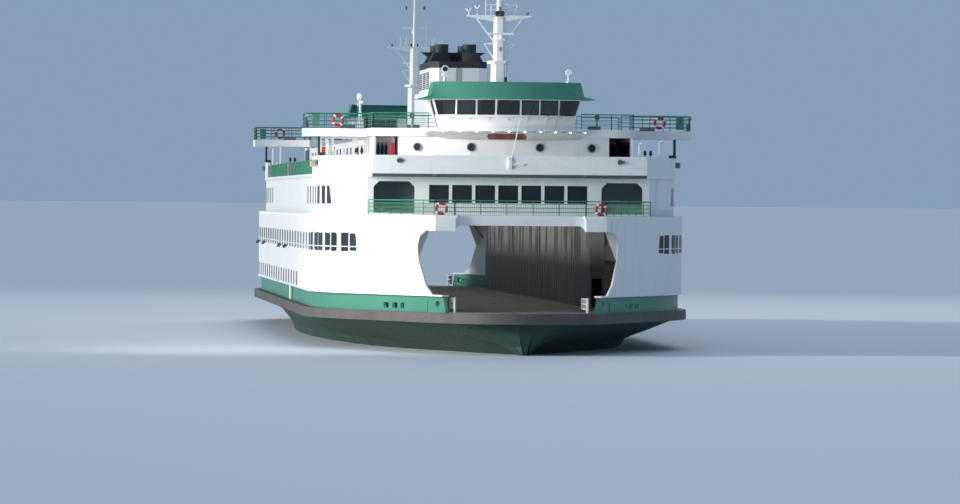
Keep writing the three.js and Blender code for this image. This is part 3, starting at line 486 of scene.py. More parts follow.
for side, word in sides:
    ribs = bmesh.new()
    for face, outer, top in ((0.65, 0.644, 0.9), (0.75, 0.756, 0.545)):
        for i in range(-31, 32):
            block(ribs, (side * face, i * 0.15 - 0.02, lane_level), (side * outer, i * 0.15 + 0.02, top))
    piece(f"casing_ribs_{word}", ribs, casing_grey)
    doors = bmesh.new()
    for y in (-3.6, -1.2, 1.2, 3.6):
        door = block(doors, (side * 0.642, y - 0.04, 0.305), (side * 0.65, y + 0.04, 0.495))
        ease(doors, edges_across(door, 0.004), 0.01)
    piece(f"casing_doors_{word}", doors, casing_grey)

# Mouth linings: the inside of each mouth is lined with deep corrugated plate, here a row of upright half rounds,
# with slanting frames under the deck above and a grid of flat bar beams across its underside.
lining_grey = ship_paint("lining_enamel", "#a9afae", streak="#5d5b52", streaks=0.5, roughness=0.55, plate=0.5,
                         seam=0.2, tone=0.12)
deckhead = 0.9305
for end in (1, 2):
    lining = bmesh.new()
    for side in (-1, 1):
        for i in range(21):
            y = -4.86 - 0.052 * i
            x = side * (half_breadth(y, 0.06) - 0.028)
            bmesh.ops.create_cone(lining, cap_ends=True, segments=8, radius1=0.02, radius2=0.02, depth=0.5,
                                  matrix=Matrix.Translation((x, y, 0.665)))
        for y in (-5.2, -5.6, -6.0):
            x = half_breadth(y, 0.06) - 0.05
            rod(lining, (side * x, y, 0.72), (side * (x - 0.16), y, 0.93), 0.009, 6)
    piece(f"mouth_lining_{end}", lining, lining_grey, end=end)

    beams = bmesh.new()
    for i in range(9):
        y = -6.02 + 0.24 * i
        block(beams, (-0.6, y - 0.006, 0.9), (0.6, y + 0.006, deckhead))
    for x in (-0.3, 0, 0.3):
        block(beams, (x - 0.006, -6.1, 0.893), (x + 0.006, -4.0, deckhead))
    piece(f"deckhead_beams_{end}", beams, lining_grey, end=end)

# Deckhead lamps: sealed strip lights screwed under the deck in six rows, with frosted moulded lenses. They burn by
# day, so the far end of the lanes shows as points of light.
lamp_lens, tree = new_material("frosted_lamp_lens")
lit = add(tree, "BsdfPrincipled", {"Base Color": linear("#f3f0e2"), "Roughness": 0.35,
                                   "Emission Color": linear("#f4f6f2"), "Emission Strength": 7.0})
add(tree, "OutputMaterial", {"Surface": lit.outputs[0]})
lamps = bmesh.new()
for x, reach, low in [(x, 11, 0.9) for x in (-0.45, -0.15, 0.15, 0.45)] + [(-0.9, 10, 0.915), (0.9, 10, 0.915)]:
    for i in range(-reach, reach + 1):
        block(lamps, (x - 0.012, i * 0.48 - 0.05, low), (x + 0.012, i * 0.48 + 0.05, deckhead))
piece("deckhead_lamps", lamps, lamp_lens)

# Passenger deck: green coated plate, open to the sky over each mouth between the cabin front and the end rail.
# Only its top is green, worn paler in clouds 0.4 m wide; its edge and underside are painted white. The grit is drawn
# 7 mm coarse, so that it shows.
green_coating, tree = new_material("green_deck_coating")
place = add(tree, "TexCoord")
cloud = add(tree, "TexNoise", {"Vector": place.outputs["Object"], "Scale": 2.6, "Detail": 6.0})
grit = add(tree, "TexNoise", {"Vector": place.outputs["Object"], "Scale": 150.0, "Detail": 2.0})
tread = add(tree, "Mix", {0: cloud.outputs["Fac"], 6: linear("#3b6f5b"), 7: linear("#5f9d84")}, data_type="RGBA")
up = add(tree, "SeparateXYZ", {0: place.outputs["Normal"]})
top = add(tree, "Math", {0: up.outputs["Z"], 1: 0.5}, operation="GREATER_THAN")
edged = add(tree, "Mix", {0: top.outputs[0], 6: linear("#eef0ee"), 7: tread.outputs[2]}, data_type="RGBA")
bump = add(tree, "Bump", {"Height": grit.outputs["Fac"], "Strength": 0.25, "Distance": 0.0015})
shader = add(tree, "BsdfPrincipled", {"Base Color": edged.outputs[2], "Roughness": 0.7, "Normal": bump.outputs[0]})
add(tree, "OutputMaterial", {"Surface": shader.outputs[0]})
dress(green_coating, "passenger_deck")

# Passenger cabin sides: white plate, raked at the ends, with seven tall windows near each end, of which the first
# leans with the rake, and a flat moulding welded along the top and bottom.
cabin_windows = [(-4.82, 0.115), (-4.65, 0.12), (-4.43, 0.14), (-4.14, 0.15), (-3.8, 0.15), (-3.42, 0.15),
                 (-3.04, 0.15)]
cabin_sill, cabin_head, frame_lap = 1.022, 1.15, 0.002
for side, word in sides:
    holes, glass = bmesh.new(), bmesh.new()
    for far in (-1, 1):
        for start, width in cabin_windows:
            y = -far * (start + width / 2)
            hole = plate_on_side(holes, side, y, width, cabin_sill, cabin_head, 0.07, 0.07)
            if start == cabin_windows[0][0]:
                for v in hole:
                    if abs(v.co.y) > abs(y) and v.co.z > 1.1:
                        v.co.y -= math.copysign(0.035, v.co.y)
            plate_on_side(glass, side, y, width + 0.006, cabin_sill - frame_lap, cabin_head + frame_lap, 0.0965, 0.005)
    piece(f"cabin_glass_{word}", glass, tinted_glass)
    piece(f"cabin_plating_{word}", carve(merged_copy(f"cabin_side_{word}"), holes), white_plate,
          replaces=[f"cabin_side_{word}"])
    moulding = bmesh.new()
    for step in range(-48, 49):
        y = step * 0.108
        for z in (0.993, 1.203):
            plate_on_side(moulding, side, y, 0.11, z, z + 0.006, 0.0915, 0.005)
    piece(f"cabin_moulding_{word}", moulding, white_plate)

# Cabin fronts: seven large windows between two open shelters that lead out to the end deck. Each window has dark
# glass in a slim black rubber seal behind rounded plate corners; a slatted bench and a door stand back in each
# shelter. The shelter's plate lining, bench and door are a blue-grey that is painted shade, for the dark inside it.
rubber, tree = new_material("black_window_rubber")
dull = add(tree, "BsdfPrincipled", {"Base Color": linear("#1a1c1d"), "Roughness": 0.7})
add(tree, "OutputMaterial", {"Surface": dull.outputs[0]})
# shelter walls, bench and door: a blue-grey that is painted shade for the dark inside of the shelters
shelter_shade_grey = ship_paint("shelter_painted_shade_grey", "#93a0a8", streaks=0.1, roughness=0.4, plate=0.13, seam=0.5)
dress(white_plate, "cabin_end_1", "cabin_end_2")
shelter_floor, shelter_top, shelter_back = 0.952, 1.212, -5.06
for end in (1, 2):
    seals, panes, backs, doors = bmesh.new(), bmesh.new(), bmesh.new(), bmesh.new()
    half, lip, sill, head = 0.071, 0.063, 1.034, 1.161
    for i in range(-3, 4):
        x = i * 0.163
        for x0, x1, z0, z1 in ((-half, -lip, sill, head), (lip, half, sill, head),
                               (-half, half, sill, sill + 0.007), (-half, half, head - 0.007, head)):
            block(seals, (x + x0, -5.398, z0), (x + x1, -5.392, z1))
        block(panes, (x - 0.07, -5.3935, 1.035), (x + 0.07, -5.3895, 1.16))
    for side in (-1, 1):
        block(backs, (side * 0.61, shelter_back, shelter_floor), (side * 1.12, shelter_back + 0.01, shelter_top))
        block(backs, (side * 0.61, -5.385, shelter_floor), (side * 0.62, shelter_back, shelter_top))
        block(doors, (side * 0.7, shelter_back - 0.006, 0.96), (side * 0.79, shelter_back, 1.155))
        for y in (-5.34, -5.26, -5.18):
            block(backs, (side * 0.87, y - 0.02, 0.985), (side * 0.96, y + 0.02, 0.992))
            rod(backs, (side * 0.915, y, 0.951), (side * 0.915, y, 0.986), 0.006)
    piece(f"cabin_window_seals_{end}", seals, rubber, end=end)
    piece(f"cabin_window_glass_{end}", panes, tinted_glass, end=end)
    piece(f"shelter_walls_{end}", backs, shelter_shade_grey, end=end)
    piece(f"shelter_doors_{end}", doors, shelter_shade_grey, end=end)

# Sun deck: white plate with a solid bulwark round each end. A flat cap bar stiffens the bulwark's front, a dark
# strip on the deck edge below it is painted shade, and flood lights, speakers and a signal box are screwed to the
# outside.
shaded_edge = ship_paint("painted_shade_deck_edge", "#4a565e", streaks=0.1, roughness=0.5, plate=2.0, seam=0.0)
dress(white_plate, "sun_deck")
sun_deck_top = 1.237
# cast metal: a skin with pits of about 8 mm, coarser than sand casting leaves, so that they show
cast_grey = mottled_finish("cast_aluminium_fitting", "#5b6164", "#8d9496", 120.0, 3.0,
                           {"Metallic": 0.7, "Roughness": 0.45}, relief=(0.3, 0.001))
box_yellow = ship_paint("signal_box_enamel", "#cdbf8a", streak="#6f6a55", streaks=0.4, roughness=0.5, plate=2.0,
                        seam=0.0)
for end in (1, 2):
    cap, strip, fittings, boxes = bmesh.new(), bmesh.new(), bmesh.new(), bmesh.new()
    wide = half_breadth(5.52, 0.085)
    block(cap, (-wide + 0.01, -5.523, 1.352), (wide - 0.01, -5.505, 1.367))
    piece(f"bulwark_cap_{end}", cap, white_plate, end=end)
    # a dark strip over the front deck edge: painted shade under the bulwark
    block(strip, (-wide, -5.524, 1.214), (wide, -5.518, sun_deck_top))
    piece(f"sun_deck_painted_shade_band_{end}", strip, shaded_edge, end=end)

    for x in (-0.78, 0.775):
        block(fittings, (x - 0.009, -5.532, 1.318), (x + 0.009, -5.52, 1.346))
        rod(fittings, (x, -5.53, 1.334), (x, -5.545, 1.326), 0.017, 12)
        rod(fittings, (x + 0.012, -5.53, 1.33), (x + 0.033, -5.534, 1.33), 0.011, 10, end_radius=0.004)
    for x in (-0.53, 0.53):
        block(fittings, (x - 0.015, -5.537, 1.222), (x + 0.015, -5.52, 1.234))
    for side in (-1, 1):
        x = side * half_breadth(4.4, 0.085)
        rod(fittings, (x, -4.4, 1.33), (x + side * 0.012, -4.4, 1.33), 0.008, 8)
        rod(fittings, (x + side * 0.018, -4.4, 1.338), (x + side * 0.018, -4.4, 1.298), 0.018, 14)
    piece(f"bulwark_fittings_{end}", fittings, cast_grey, end=end)
    block(boxes, (-1.345, -4.36, 1.286), (-1.299, -4.31, 1.328))
    ease(boxes, boxes.edges, 0.004, 2)
    piece(f"bulwark_signal_box_{end}", boxes, box_yellow, end=end)

# Sun deck sides: a slim gutter bar under the rail, and green canvas weather cloths laced taut to rail and bar
# between flat posts. Two bent pipe posts stand inside them. The canvas is faded in folds 80 mm wide, and its weave is
# drawn 4 mm coarse, so that it shows.
canvas_green, tree = new_material("green_canvas_weather_cloth")
place = add(tree, "TexCoord").outputs["Object"]
weave = add(tree, "TexNoise", {"Vector": place, "Scale": 260.0, "Detail": 1.0})
slack = add(tree, "TexNoise", {"Vector": add(tree, "Mapping", {"Vector": place, "Scale": (8, 8, 2)}).outputs[0],
                               "Scale": 1.5, "Detail": 2.0})
dye = add(tree, "Mix", {0: slack.outputs["Fac"], 6: linear("#2f7a58"), 7: linear("#57a783")}, data_type="RGBA")
folds = add(tree, "Bump", {"Height": slack.outputs["Fac"], "Strength": 0.7, "Distance": 0.01})
threads = add(tree, "Bump", {"Height": weave.outputs["Fac"], "Strength": 0.2, "Distance": 0.001,
                             "Normal": folds.outputs[0]})
cloth = add(tree, "BsdfPrincipled", {"Base Color": dye.outputs[2], "Roughness": 0.9, "Normal": threads.outputs[0]})
add(tree, "OutputMaterial", {"Surface": cloth.outputs[0]})
for side, word in sides:
    bars, cloths, posts = bmesh.new(), bmesh.new(), bmesh.new()
    block(bars, (side * 1.296, -4.2, 1.222), (side * 1.304, 4.2, sun_deck_top))
    piece(f"sun_deck_side_gutter_{word}", bars, white_plate)
    for y0, y1 in ((-3.72, -0.2), (0.35, 3.4)):
        block(cloths, (side * 1.2845, -side * y0, 1.243), (side * 1.2875, -side * y1, 1.337))
    piece(f"weather_cloths_{word}", cloths, canvas_green)
    for y in (-3.745, -0.185, 0.335, 3.415):
        block(posts, (side * 1.28, -side * y - 0.008, sun_deck_top), (side * 1.29, -side * y + 0.008, 1.336))
    for y in (2.2, 3.62):
        foot, knee, tip = [(side * x, -side * y, z)
                           for x, z in ((1.262, sun_deck_top), (1.262, 1.49), (1.285, 1.496))]
        rod(posts, foot, knee, 0.0065, 8)
        rod(posts, knee, tip, 0.009, 8)
        rod(posts, (side * 1.295, -side * (y - 0.05), 1.35), (side * 1.2, -side * (y + 0.05), 1.245), 0.008, 8)
    piece(f"cloth_posts_{word}", posts, white_plate)

# Bridge houses: white plate rooms under each wheelhouse, with a bowed front. Four round ports with heavy cast rims
# look forward. In the open bays beside them stand a red fire hose cabinet with its pipe, a white screen plate and
# small dark covers, and the bay away from it has a long dark window and a dark panel, which is painted shade on
# its back wall.
dress(white_plate, "bridge_house_1", "bridge_house_2")
# red enamel, faded by the sun in patches of some 70 mm
hose_red = mottled_finish("red_gloss_enamel", "#8f1f2c", "#c23345", 14.0, 3.0, {"Roughness": 0.35})
house_corner, house_bow, house_half, port_radius = 5.01, 0.14, 0.75, 0.0245
for end in (1, 2):
    rims, port_glass = bmesh.new(), bmesh.new()
    for x in (-0.62, -0.244, 0.244, 0.62):
        y = -(house_corner + house_bow * (1 - (x / house_half) ** 2)) - 0.003
        slant = math.atan2(house_bow * 2 * x / house_half ** 2, 1)
        turn = Matrix.Translation((x, y, 1.43)) @ Matrix.Rotation(slant, 4, "Z") @ Matrix.Rotation(math.pi / 2, 4, "X")
        ring = bmesh.ops.create_circle(rims, cap_ends=False, segments=24, radius=port_radius, matrix=turn)["verts"]
        made = bmesh.ops.extrude_edge_only(rims, edges=list({e for v in ring for e in v.link_edges}))["geom"]
        outer = [v for v in made if isinstance(v, bmesh.types.BMVert)]
        bmesh.ops.scale(rims, verts=outer, vec=(1.25, 1.25, 1.25), space=Matrix.Translation(-turn.translation))
        bmesh.ops.create_cone(port_glass, cap_ends=True, segments=24, radius1=port_radius, radius2=port_radius,
                              depth=0.004, matrix=turn)
    bmesh.ops.solidify(rims, geom=rims.faces[:], thickness=0.007)
    bmesh.ops.recalc_face_normals(rims, faces=rims.faces[:])
    piece(f"port_rims_{end}", rims, cast_grey, end=end, smooth=True)
    piece(f"port_glass_{end}", port_glass, tinted_glass, end=end)

    cabinet, screen, covers_and_shade_panel = bmesh.new(), bmesh.new(), bmesh.new()
    block(cabinet, (-0.806, -4.92, 1.3), (-0.77, -4.88, 1.458))
    ease(cabinet, cabinet.edges, 0.004, 2)
    for z0, z1 in ((1.457, 1.504), (1.238, 1.301)):
        rod(cabinet, (-0.788, -4.9, z0), (-0.788, -4.9, z1), 0.003, 6)
    piece(f"hose_cabinet_{end}", cabinet, hose_red, end=end)
    block(screen, (-0.905, -4.812, 1.2385), (-0.765, -4.806, 1.502))
    piece(f"bay_screen_{end}", screen, white_plate, end=end)

    for x in (-0.885, -0.858, -0.831):
        rod(covers_and_shade_panel, (x, -4.85, 1.238), (x, -4.85, 1.43), 0.0105, 4)
        rod(covers_and_shade_panel, (x, -4.85, 1.43), (x, -4.85, 1.462), 0.0105, 4, end_radius=0.002)
    block(covers_and_shade_panel, (0.9095, -4.87, 1.3), (0.9265, -4.12, 1.478))
    for x in (-1.01, -1.05, 1.01, 1.05):
        rod(covers_and_shade_panel, (x, -4.98, 1.238), (x, -4.98, 1.385), 0.004, 6)
        rod(covers_and_shade_panel, (x, -4.98, 1.385), (x, -4.98, 1.418), 0.013, 10, end_radius=0.008)
    # a dark plate on the bay's back wall: painted shade
    block(covers_and_shade_panel, (0.762, -3.925, 1.26), (0.905, -3.917, 1.47))
    piece(f"bay_fittings_and_shade_panel_{end}", covers_and_shade_panel, tinted_glass, end=end)

# Crew house: the long deckhouse amidships, plain white plate with square windows in rubber along each side, glazed
# flush, and eight mushroom ventilators welded to its roof.
dress(white_plate, "crew_house")
crew_sill, crew_head = 1.361, 1.441
for side, word in sides:
    seals, panes = bmesh.new(), bmesh.new()
    for i in range(16):
        y = -3.55 + i * 0.473
        if 1.05 < abs(y) < 1.35:  # a plain panel on each side of the middle
            continue
        block(seals, (side * 0.9245, y - 0.056, crew_sill - 0.006), (side * 0.9275, y + 0.056, crew_head + 0.006))
        block(panes, (side * 0.9265, y - 0.05, crew_sill), (side * 0.9285, y + 0.05, crew_head))
    piece(f"crew_window_seals_{word}", seals, rubber)
    piece(f"crew_windows_{word}", panes, tinted_glass)
vents, roof_level, cap_level = bmesh.new(), 1.489, 1.56
for x, y in ((-0.6, -2.6), (0.6, -2.6), (-0.6, 2.6), (0.6, 2.6), (-0.6, -1.6), (0.6, 1.6), (-0.3, 3.2), (0.3, -3.2)):
    rod(vents, (x, y, roof_level), (x, y, cap_level), 0.022, 12)
    rod(vents, (x, y, cap_level), (x, y, 1.585), 0.042, 12, end_radius=0.02)
piece("roof_ventilators", vents, white_plate, smooth=True)

# Navigating decks: white plate slabs that carry the wheelhouse and reach out in wings over the ship's side, on two
# dark posts. Down lights are let into the bowed lip with dark slots between them that are painted shade, a bare
# varnished board hangs on the raked plate under it, and lockers, lamps, speakers and a domed aerial stand on the
# wings.
for end in (1, 2):
    rolled(f"rolled_nav_deck_{end}", f"nav_deck_{end}", white_plate)
dark_post_and_slot_shade = ship_paint("dark_bracket_enamel_and_slot_shade", "#24404a", streaks=0.2, roughness=0.45, plate=2.0, seam=0.0)
# varnished wood: grain along the board, 4 mm wide, which is coarser than the real grain, so that it shows
board_brown = mottled_finish("varnished_board", "#4f2a26", "#7d443c", 3.0, 6.0, {"Roughness": 0.4}, drawn=(4, 4, 90))


def lip_front(x):
    return -(5.13 + 0.31 * (1 - (x / 0.59) ** 2))


nav_top = 1.562
for end in (1, 2):
    lights, slots = bmesh.new(), bmesh.new()
    pitch = 0.113
    for i in range(-5, 6):
        x = i * pitch
        y = lip_front(x) + 0.012
        rod(lights, (x, y, 1.535), (x, y, 1.5415), 0.0065, 10)
        # dark blocks between the lights: painted shade for slots in the lip
        if i < 5:
            y = lip_front(x + pitch / 2)
            block(slots, (x + 0.034, y + 0.006, 1.5365), (x + 0.079, y + 0.018, 1.5405))
    piece(f"front_down_lights_{end}", lights, lamp_lens, end=end)
    for side in (-1, 1):
        block(slots, (side * 1.285 - 0.0085, -4.4115, 1.367), (side * 1.285 + 0.0085, -4.3885, 1.504))
        block(slots, (side * 1.245, -4.45, 1.367), (side * 1.292, -4.39, 1.39))
    piece(f"lip_shade_slots_and_posts_{end}", slots, dark_post_and_slot_shade, end=end)

    name_board = bmesh.new()
    outline = [(-0.152, 1.502), (-0.14, 1.483), (0.117, 1.483), (0.129, 1.502), (0.117, 1.524), (-0.14, 1.524)]
    face = name_board.faces.new([name_board.verts.new((x, -5.385 + 0.35 * (z - 1.502), z)) for x, z in outline])
    made = bmesh.ops.extrude_face_region(name_board, geom=[face])["geom"]
    back = [v for v in made if isinstance(v, bmesh.types.BMVert)]
    bmesh.ops.translate(name_board, verts=back, vec=(0, 0.008, 0))
    bmesh.ops.recalc_face_normals(name_board, faces=name_board.faces[:])
    piece(f"bare_name_board_{end}", name_board, board_brown, end=end)

    gear, lockers = bmesh.new(), bmesh.new()
    for side in (-1, 1):
        rod(gear, (side * 1.378, -4.5, nav_top), (side * 1.378, -4.5, 1.648), 0.004, 6)
        rod(gear, (side * 1.374, -4.49, 1.652), (side * 1.382, -4.53, 1.652), 0.007, 12, end_radius=0.0125)
        block(gear, (side * 1.365, -4.49, nav_top), (side * 1.39, -4.45, 1.612))
        block(gear, (side * 1.03, -4.44, nav_top), (side * 1.137, -4.39, 1.588))
        rod(gear, (side * 0.66, -5.02, nav_top), (side * 0.66, -5.02, 1.64), 0.004, 6)
        rod(gear, (side * 0.66, -5.01, 1.65), (side * 0.66, -5.04, 1.65), 0.015, 10, end_radius=0.02)
        block(gear, (side * 0.6, -4.99, nav_top), (side * 0.69, -4.94, 1.586))
        rod(gear, (side * 0.1 - 0.01, -5.373, 1.512), (side * 0.1 - 0.01, -5.373, 1.531), 0.003, 6)
        block(lockers, (side * 1.287, -4.5, 1.575), (side * 1.337, -4.44, 1.662))
    piece(f"wing_gear_{end}", gear, cast_grey, end=end)
    ease(lockers, lockers.edges, 0.004, 2)
    piece(f"wing_lockers_{end}", lockers, strake_green, end=end)
    post = bmesh.new()
    x, y = -0.987, -4.33
    for dx, dy in ((-0.02, -0.02), (0.02, -0.02), (0, 0.025)):
        rod(post, (x + dx, y + dy, nav_top), (x, y, 1.73), 0.0035, 6)
    rod(post, (x, y, 1.72), (x, y, 1.79), 0.006, 8)
    for dx, z in ((0.016, 1.745), (-0.012, 1.77)):
        rod(post, (x + dx, y, z), (x + dx, y, z + 0.016), 0.011, 10)
    bmesh.ops.create_uvsphere(post, u_segments=14, v_segments=8, radius=0.021, matrix=Matrix.Translation((x, y, 1.8)))
    piece(f"wing_dome_post_{end}", post, white_plate, end=end, smooth=True)

# Wheelhouses: white plate walls that lean outwards to the top. Dark glass in black rubber fills the windows, a sill
# shelf on brackets runs under them, and wipers rest on the front panes.
for end in (1, 2):
    rolled(f"rolled_wheelhouse_{end}", f"wheelhouse_{end}", white_plate)
# tinted float glass: half of what stands behind it shows through
see_through_glass = mottled_finish("see_through_wheelhouse_glass", "#101619", "#2b363c", 4.0, 2.0,
                                   {"Roughness": 0.07, "IOR": 1.5, "Alpha": 0.5})
front_windows = [(0, 0.078), (-0.156, 0.06), (0.156, 0.06), (-0.2935, 0.0625), (0.2935, 0.0625)]
glass_sill, glass_head, window_sill, window_head = 1.655, 1.765, 1.66, 1.76
wall_height, facets = 0.206, 7


def half_width(z):
    return 0.47 + 0.06 * (z - nav_top) / wall_height


def on_front(x, z, out=0.0):
    """A point on the wheelhouse's bowed, leaning front, this far outside the wall."""
    corner, bow = 5.18 + 0.05 * (z - nav_top) / wall_height, 0.14
    part = (max(-1, min(1, x / half_width(z))) + 1) * facets / 2
    step = min(facets - 1, int(part))
    ends = [1 - (-1 + 2 * i / facets) ** 2 for i in (step, step + 1)]
    return Vector((x, -(corner + bow * (ends[0] + (ends[1] - ends[0]) * (part - step))) - out, z))


def on_side(side, y, z, out=0.0):
    return Vector((side * (half_width(z) + out), y, z))


def closed_plate(bm, thick):
    """Gives the faces of this sheet a thickness, with all of them pointing outwards."""
    bmesh.ops.recalc_face_normals(bm, faces=bm.faces[:])
    bmesh.ops.solidify(bm, geom=bm.faces[:], thickness=thick)
    bmesh.ops.recalc_face_normals(bm, faces=bm.faces[:])


def rubber_ring(bm, corners):
    for a, b in zip(corners, corners[1:] + corners[:1]):
        rod(bm, a, b, 0.0028, 6)


for end in (1, 2):
    panes, seals, shelf = bmesh.new(), bmesh.new(), bmesh.new()
    for v in bmesh.ops.create_grid(panes, x_segments=28, y_segments=1, size=1)["verts"]:
        z = glass_sill if v.co.y < 0 else glass_head
        v.co = on_front(v.co.x * (half_width(z) - 0.006), z, -0.0045)
    for side in (-1, 1):
        low, high = [[on_side(side, y, z, -0.0045) for y in (-5.174, -5.036)] for z in (glass_sill, glass_head)]
        panes.faces.new([panes.verts.new(c) for c in (*low, *reversed(high))])
    for x0, x1 in ((-0.425, -0.135), (0.135, 0.425)):
        corners = [(x, -4.7845, z) for x, z in ((x0, glass_sill), (x1, glass_sill), (x1, glass_head), (x0, glass_head))]
        panes.faces.new([panes.verts.new(c) for c in corners])
    closed_plate(panes, 0.003)
    piece(f"wheelhouse_glass_{end}", panes, see_through_glass, end=end)

    rings = [(middle - half, middle + half, middle + half, middle - half) for middle, half in front_windows]
    rings += [(side * 0.372, side * 0.4845, side * 0.5135, side * 0.372) for side in (-1, 1)]
    levels = window_sill, window_sill, window_head, window_head
    for ring in rings:
        rubber_ring(seals, [on_front(x, z, -0.0005) for x, z in zip(ring, levels)])
    for side in (-1, 1):
        rubber_ring(seals, [on_side(side, y, z, -0.0005) for y, z in zip((-5.17, -5.04, -5.04, -5.17), levels)])
    for middle, half in front_windows[:3]:
        rod(seals, on_front(middle, 1.664, 0.004), on_front(middle + 0.03, 1.735, 0.004), 0.0016, 5)
    piece(f"wheelhouse_seals_{end}", seals, rubber, end=end)

    for v in bmesh.ops.create_grid(shelf, x_segments=28, y_segments=1, size=1)["verts"]:
        v.co = on_front(v.co.x * 0.492, 1.643, 0.001 if v.co.y < 0 else 0.026)
    closed_plate(shelf, 0.005)
    for i in range(-3, 4):
        rod(shelf, on_front(i * 0.135, 1.622, 0.001), on_front(i * 0.135, 1.641, 0.022), 0.004, 6)
    piece(f"sill_shelf_{end}", shelf, white_plate, end=end)
dress(white_plate, "wheel_door_stbd_1", "wheel_door_port_1", "wheel_door_stbd_2", "wheel_door_port_2")

# Wheelhouse roofs: sea-green plate with a deep sloping visor and fins at its sides. A whip aerial, a searchlight and
# a white dome on a post stand on it, all painted white above the green.
roof_green = ship_paint("roof_green_enamel", "#438a73", streak="#39584c", streaks=0.3, roughness=0.4, plate=0.3,
                        seam=0.3)
tree, green_top = roof_green.node_tree, 1.8925
xyz = add(tree, "SeparateXYZ", {0: add(tree, "TexCoord").outputs["Object"]})
above = add(tree, "Math", {0: xyz.outputs["Z"], 1: green_top}, operation="GREATER_THAN")
paint_over(roof_green, above, "#eceeeb")
for end in (1, 2):
    rolled(f"rolled_roof_{end}", f"wheelhouse_roof_{end}", roof_green)
    fittings, dark_fittings = bmesh.new(), bmesh.new()
    deck, out = 1.79, 0.44
    rod(fittings, (0.02, -4.84, deck), (0.02, -4.84, 1.86), 0.006, 8)
    rod(fittings, (0.02, -4.84, 1.86), (0.02, -4.84, 2.02), 0.0018, 6, end_radius=0.001)
    rod(dark_fittings, (0.02, -4.84, 1.9), (0.02, -4.84, 1.935), 0.01, 8)
    rod(fittings, (out, -5.16, deck), (out, -5.16, 1.9), 0.02, 10)
    bmesh.ops.create_uvsphere(fittings, u_segments=16, v_segments=10, radius=0.0235,
                              matrix=Matrix.Translation((out, -5.18, 1.962)))
    rod(fittings, (-out, -5.22, 1.98), (-out, -5.15, 1.98), 0.026, 18, end_radius=0.018)
    rod(fittings, (-out, -5.17, deck), (-out, -5.17, 1.965), 0.009, 8)
    block(fittings, (-out - 0.022, -5.19, 1.925), (-out + 0.022, -5.15, 1.945))
    rod(dark_fittings, (-out, -5.226, 1.98), (-out, -5.219, 1.98), 0.017, 18)
    piece(f"roof_aerials_{end}", fittings, white_plate, end=end, smooth=True)
    piece(f"roof_lamps_{end}", dark_fittings, rubber, end=end)

# Funnel: white casing with rounded corners, louvred air grilles on its sides and a ladder up each end; the top and
# its uptake pipes are heat-proof black, dulled by soot.
dress(white_plate, "funnel_casing")
# heat-proof paint: soot dulls it in clouds of about 0.17 m
soot_black = mottled_finish("heat_proof_black_paint", "#101214", "#34363a", 6.0, 5.0, {"Roughness": 0.6})
rolled("funnel_pipes", "funnel_top", soot_black)
grilles = bmesh.new()
for side in (-1, 1):
    for y in (-0.4, 0.0, 0.4):
        for k in range(9):
            z = 1.93 + k * 0.015
            block(grilles, (side * 0.222, y - 0.13, z), (side * 0.231, y + 0.13, z + 0.008))
for y in (-0.662, 0.662):
    for k in range(22):
        z = 1.92 + k * 0.008
        rod(grilles, (-0.02, y, z), (0.02, y, z), 0.0016, 5)
    for x in (-0.02, 0.02):
        rod(grilles, (x, y, 1.905), (x, y, 2.1), 0.002, 5)
piece("funnel_grilles", grilles, cast_grey)

# Masts: white plated columns, each with a ladder, round signal lamps, two black horns and a railed platform that
# carries wind vanes and aerials. The radar scanners are white moulded bars on short pedestals.
dress(white_plate, "mast_1", "mast_2")
for end in (1, 2):
    lamps, drums, aerials = bmesh.new(), bmesh.new(), bmesh.new()
    for x, z, y in ((0, 2.14, -4.6), (0, 2.43, -4.53), (0.2, 2.395, -4.51), (0, 2.74, -4.52),
                    (-0.08, 2.722, -4.5), (0.08, 2.722, -4.5)):
        rod(lamps, (x, y, z - 0.014), (x, y, z + 0.014), 0.011, 10)
    y, platform, handrail = -4.49, 2.383, 2.462
    for x, height in ((-0.222, 0.022), (-0.159, 0.045)):
        top = platform + height
        rod(aerials, (x, y, platform), (x, y, top), 0.003, 6)
        for lean in (-0.016, 0.018):
            rod(aerials, (x, y, top), (x + lean, y, top + 0.028), 0.004, 6, end_radius=0.007)
    rod(aerials, (-0.098, y, 2.38), (-0.098, y, 2.6), 0.004, 6, end_radius=0.002)
    for x in (-0.098, -0.06, 0.072, 0.128):
        rod(aerials, (x, y, 2.38), (x, y, handrail), 0.003, 6)
    for low, high in ((-0.098, -0.02), (0.02, 0.128)):
        for z in (2.425, handrail):
            rod(aerials, (low, y, z), (high, y, z), 0.0028, 6)
    rod(aerials, (0.072, y, 2.425), (0.1, y, platform), 0.003, 6)
    rod(aerials, (0.1, y, platform), (0.128, y, handrail), 0.003, 6)
    ladder_y = -4.402
    for k in range(40):
        z = 1.6 + k * 0.0185
        rod(aerials, (-0.014, ladder_y, z), (0.014, ladder_y, z), 0.0014, 4)
    for x in (-0.014, 0.014):
        rod(aerials, (x, ladder_y, 1.57), (x, ladder_y, 2.34), 0.0018, 5)
    for x in (-0.018, 0.018):
        rod(drums, (x, -4.575, 2.4), (x, -4.535, 2.4), 0.0155, 14)
    block(drums, (-0.03, -4.56, 2.379), (0.03, -4.53, 2.387))
    piece(f"mast_lamps_{end}", lamps, cast_grey, end=end)
    piece(f"platform_horns_{end}", drums, soot_black, end=end)
    piece(f"mast_aerials_{end}", aerials, white_plate, end=end)
dress(white_plate, *[f"radar_{level}_{end}" for level in ("low", "high") for end in (1, 2)])

# Rails: green enamelled steel stanchions with a pipe handrail and lower courses welded to them. The end rails carry
# wire mesh panels, drawn 12 mm wide, so that they show. Red life rings with four white vinyl bands hang on the end
# rails and on the rails of the navigating decks.
rail_green = ship_paint("rail_green_enamel", "#3c8a6d", streaks=0.15, roughness=0.4, plate=2.0, seam=0.0)


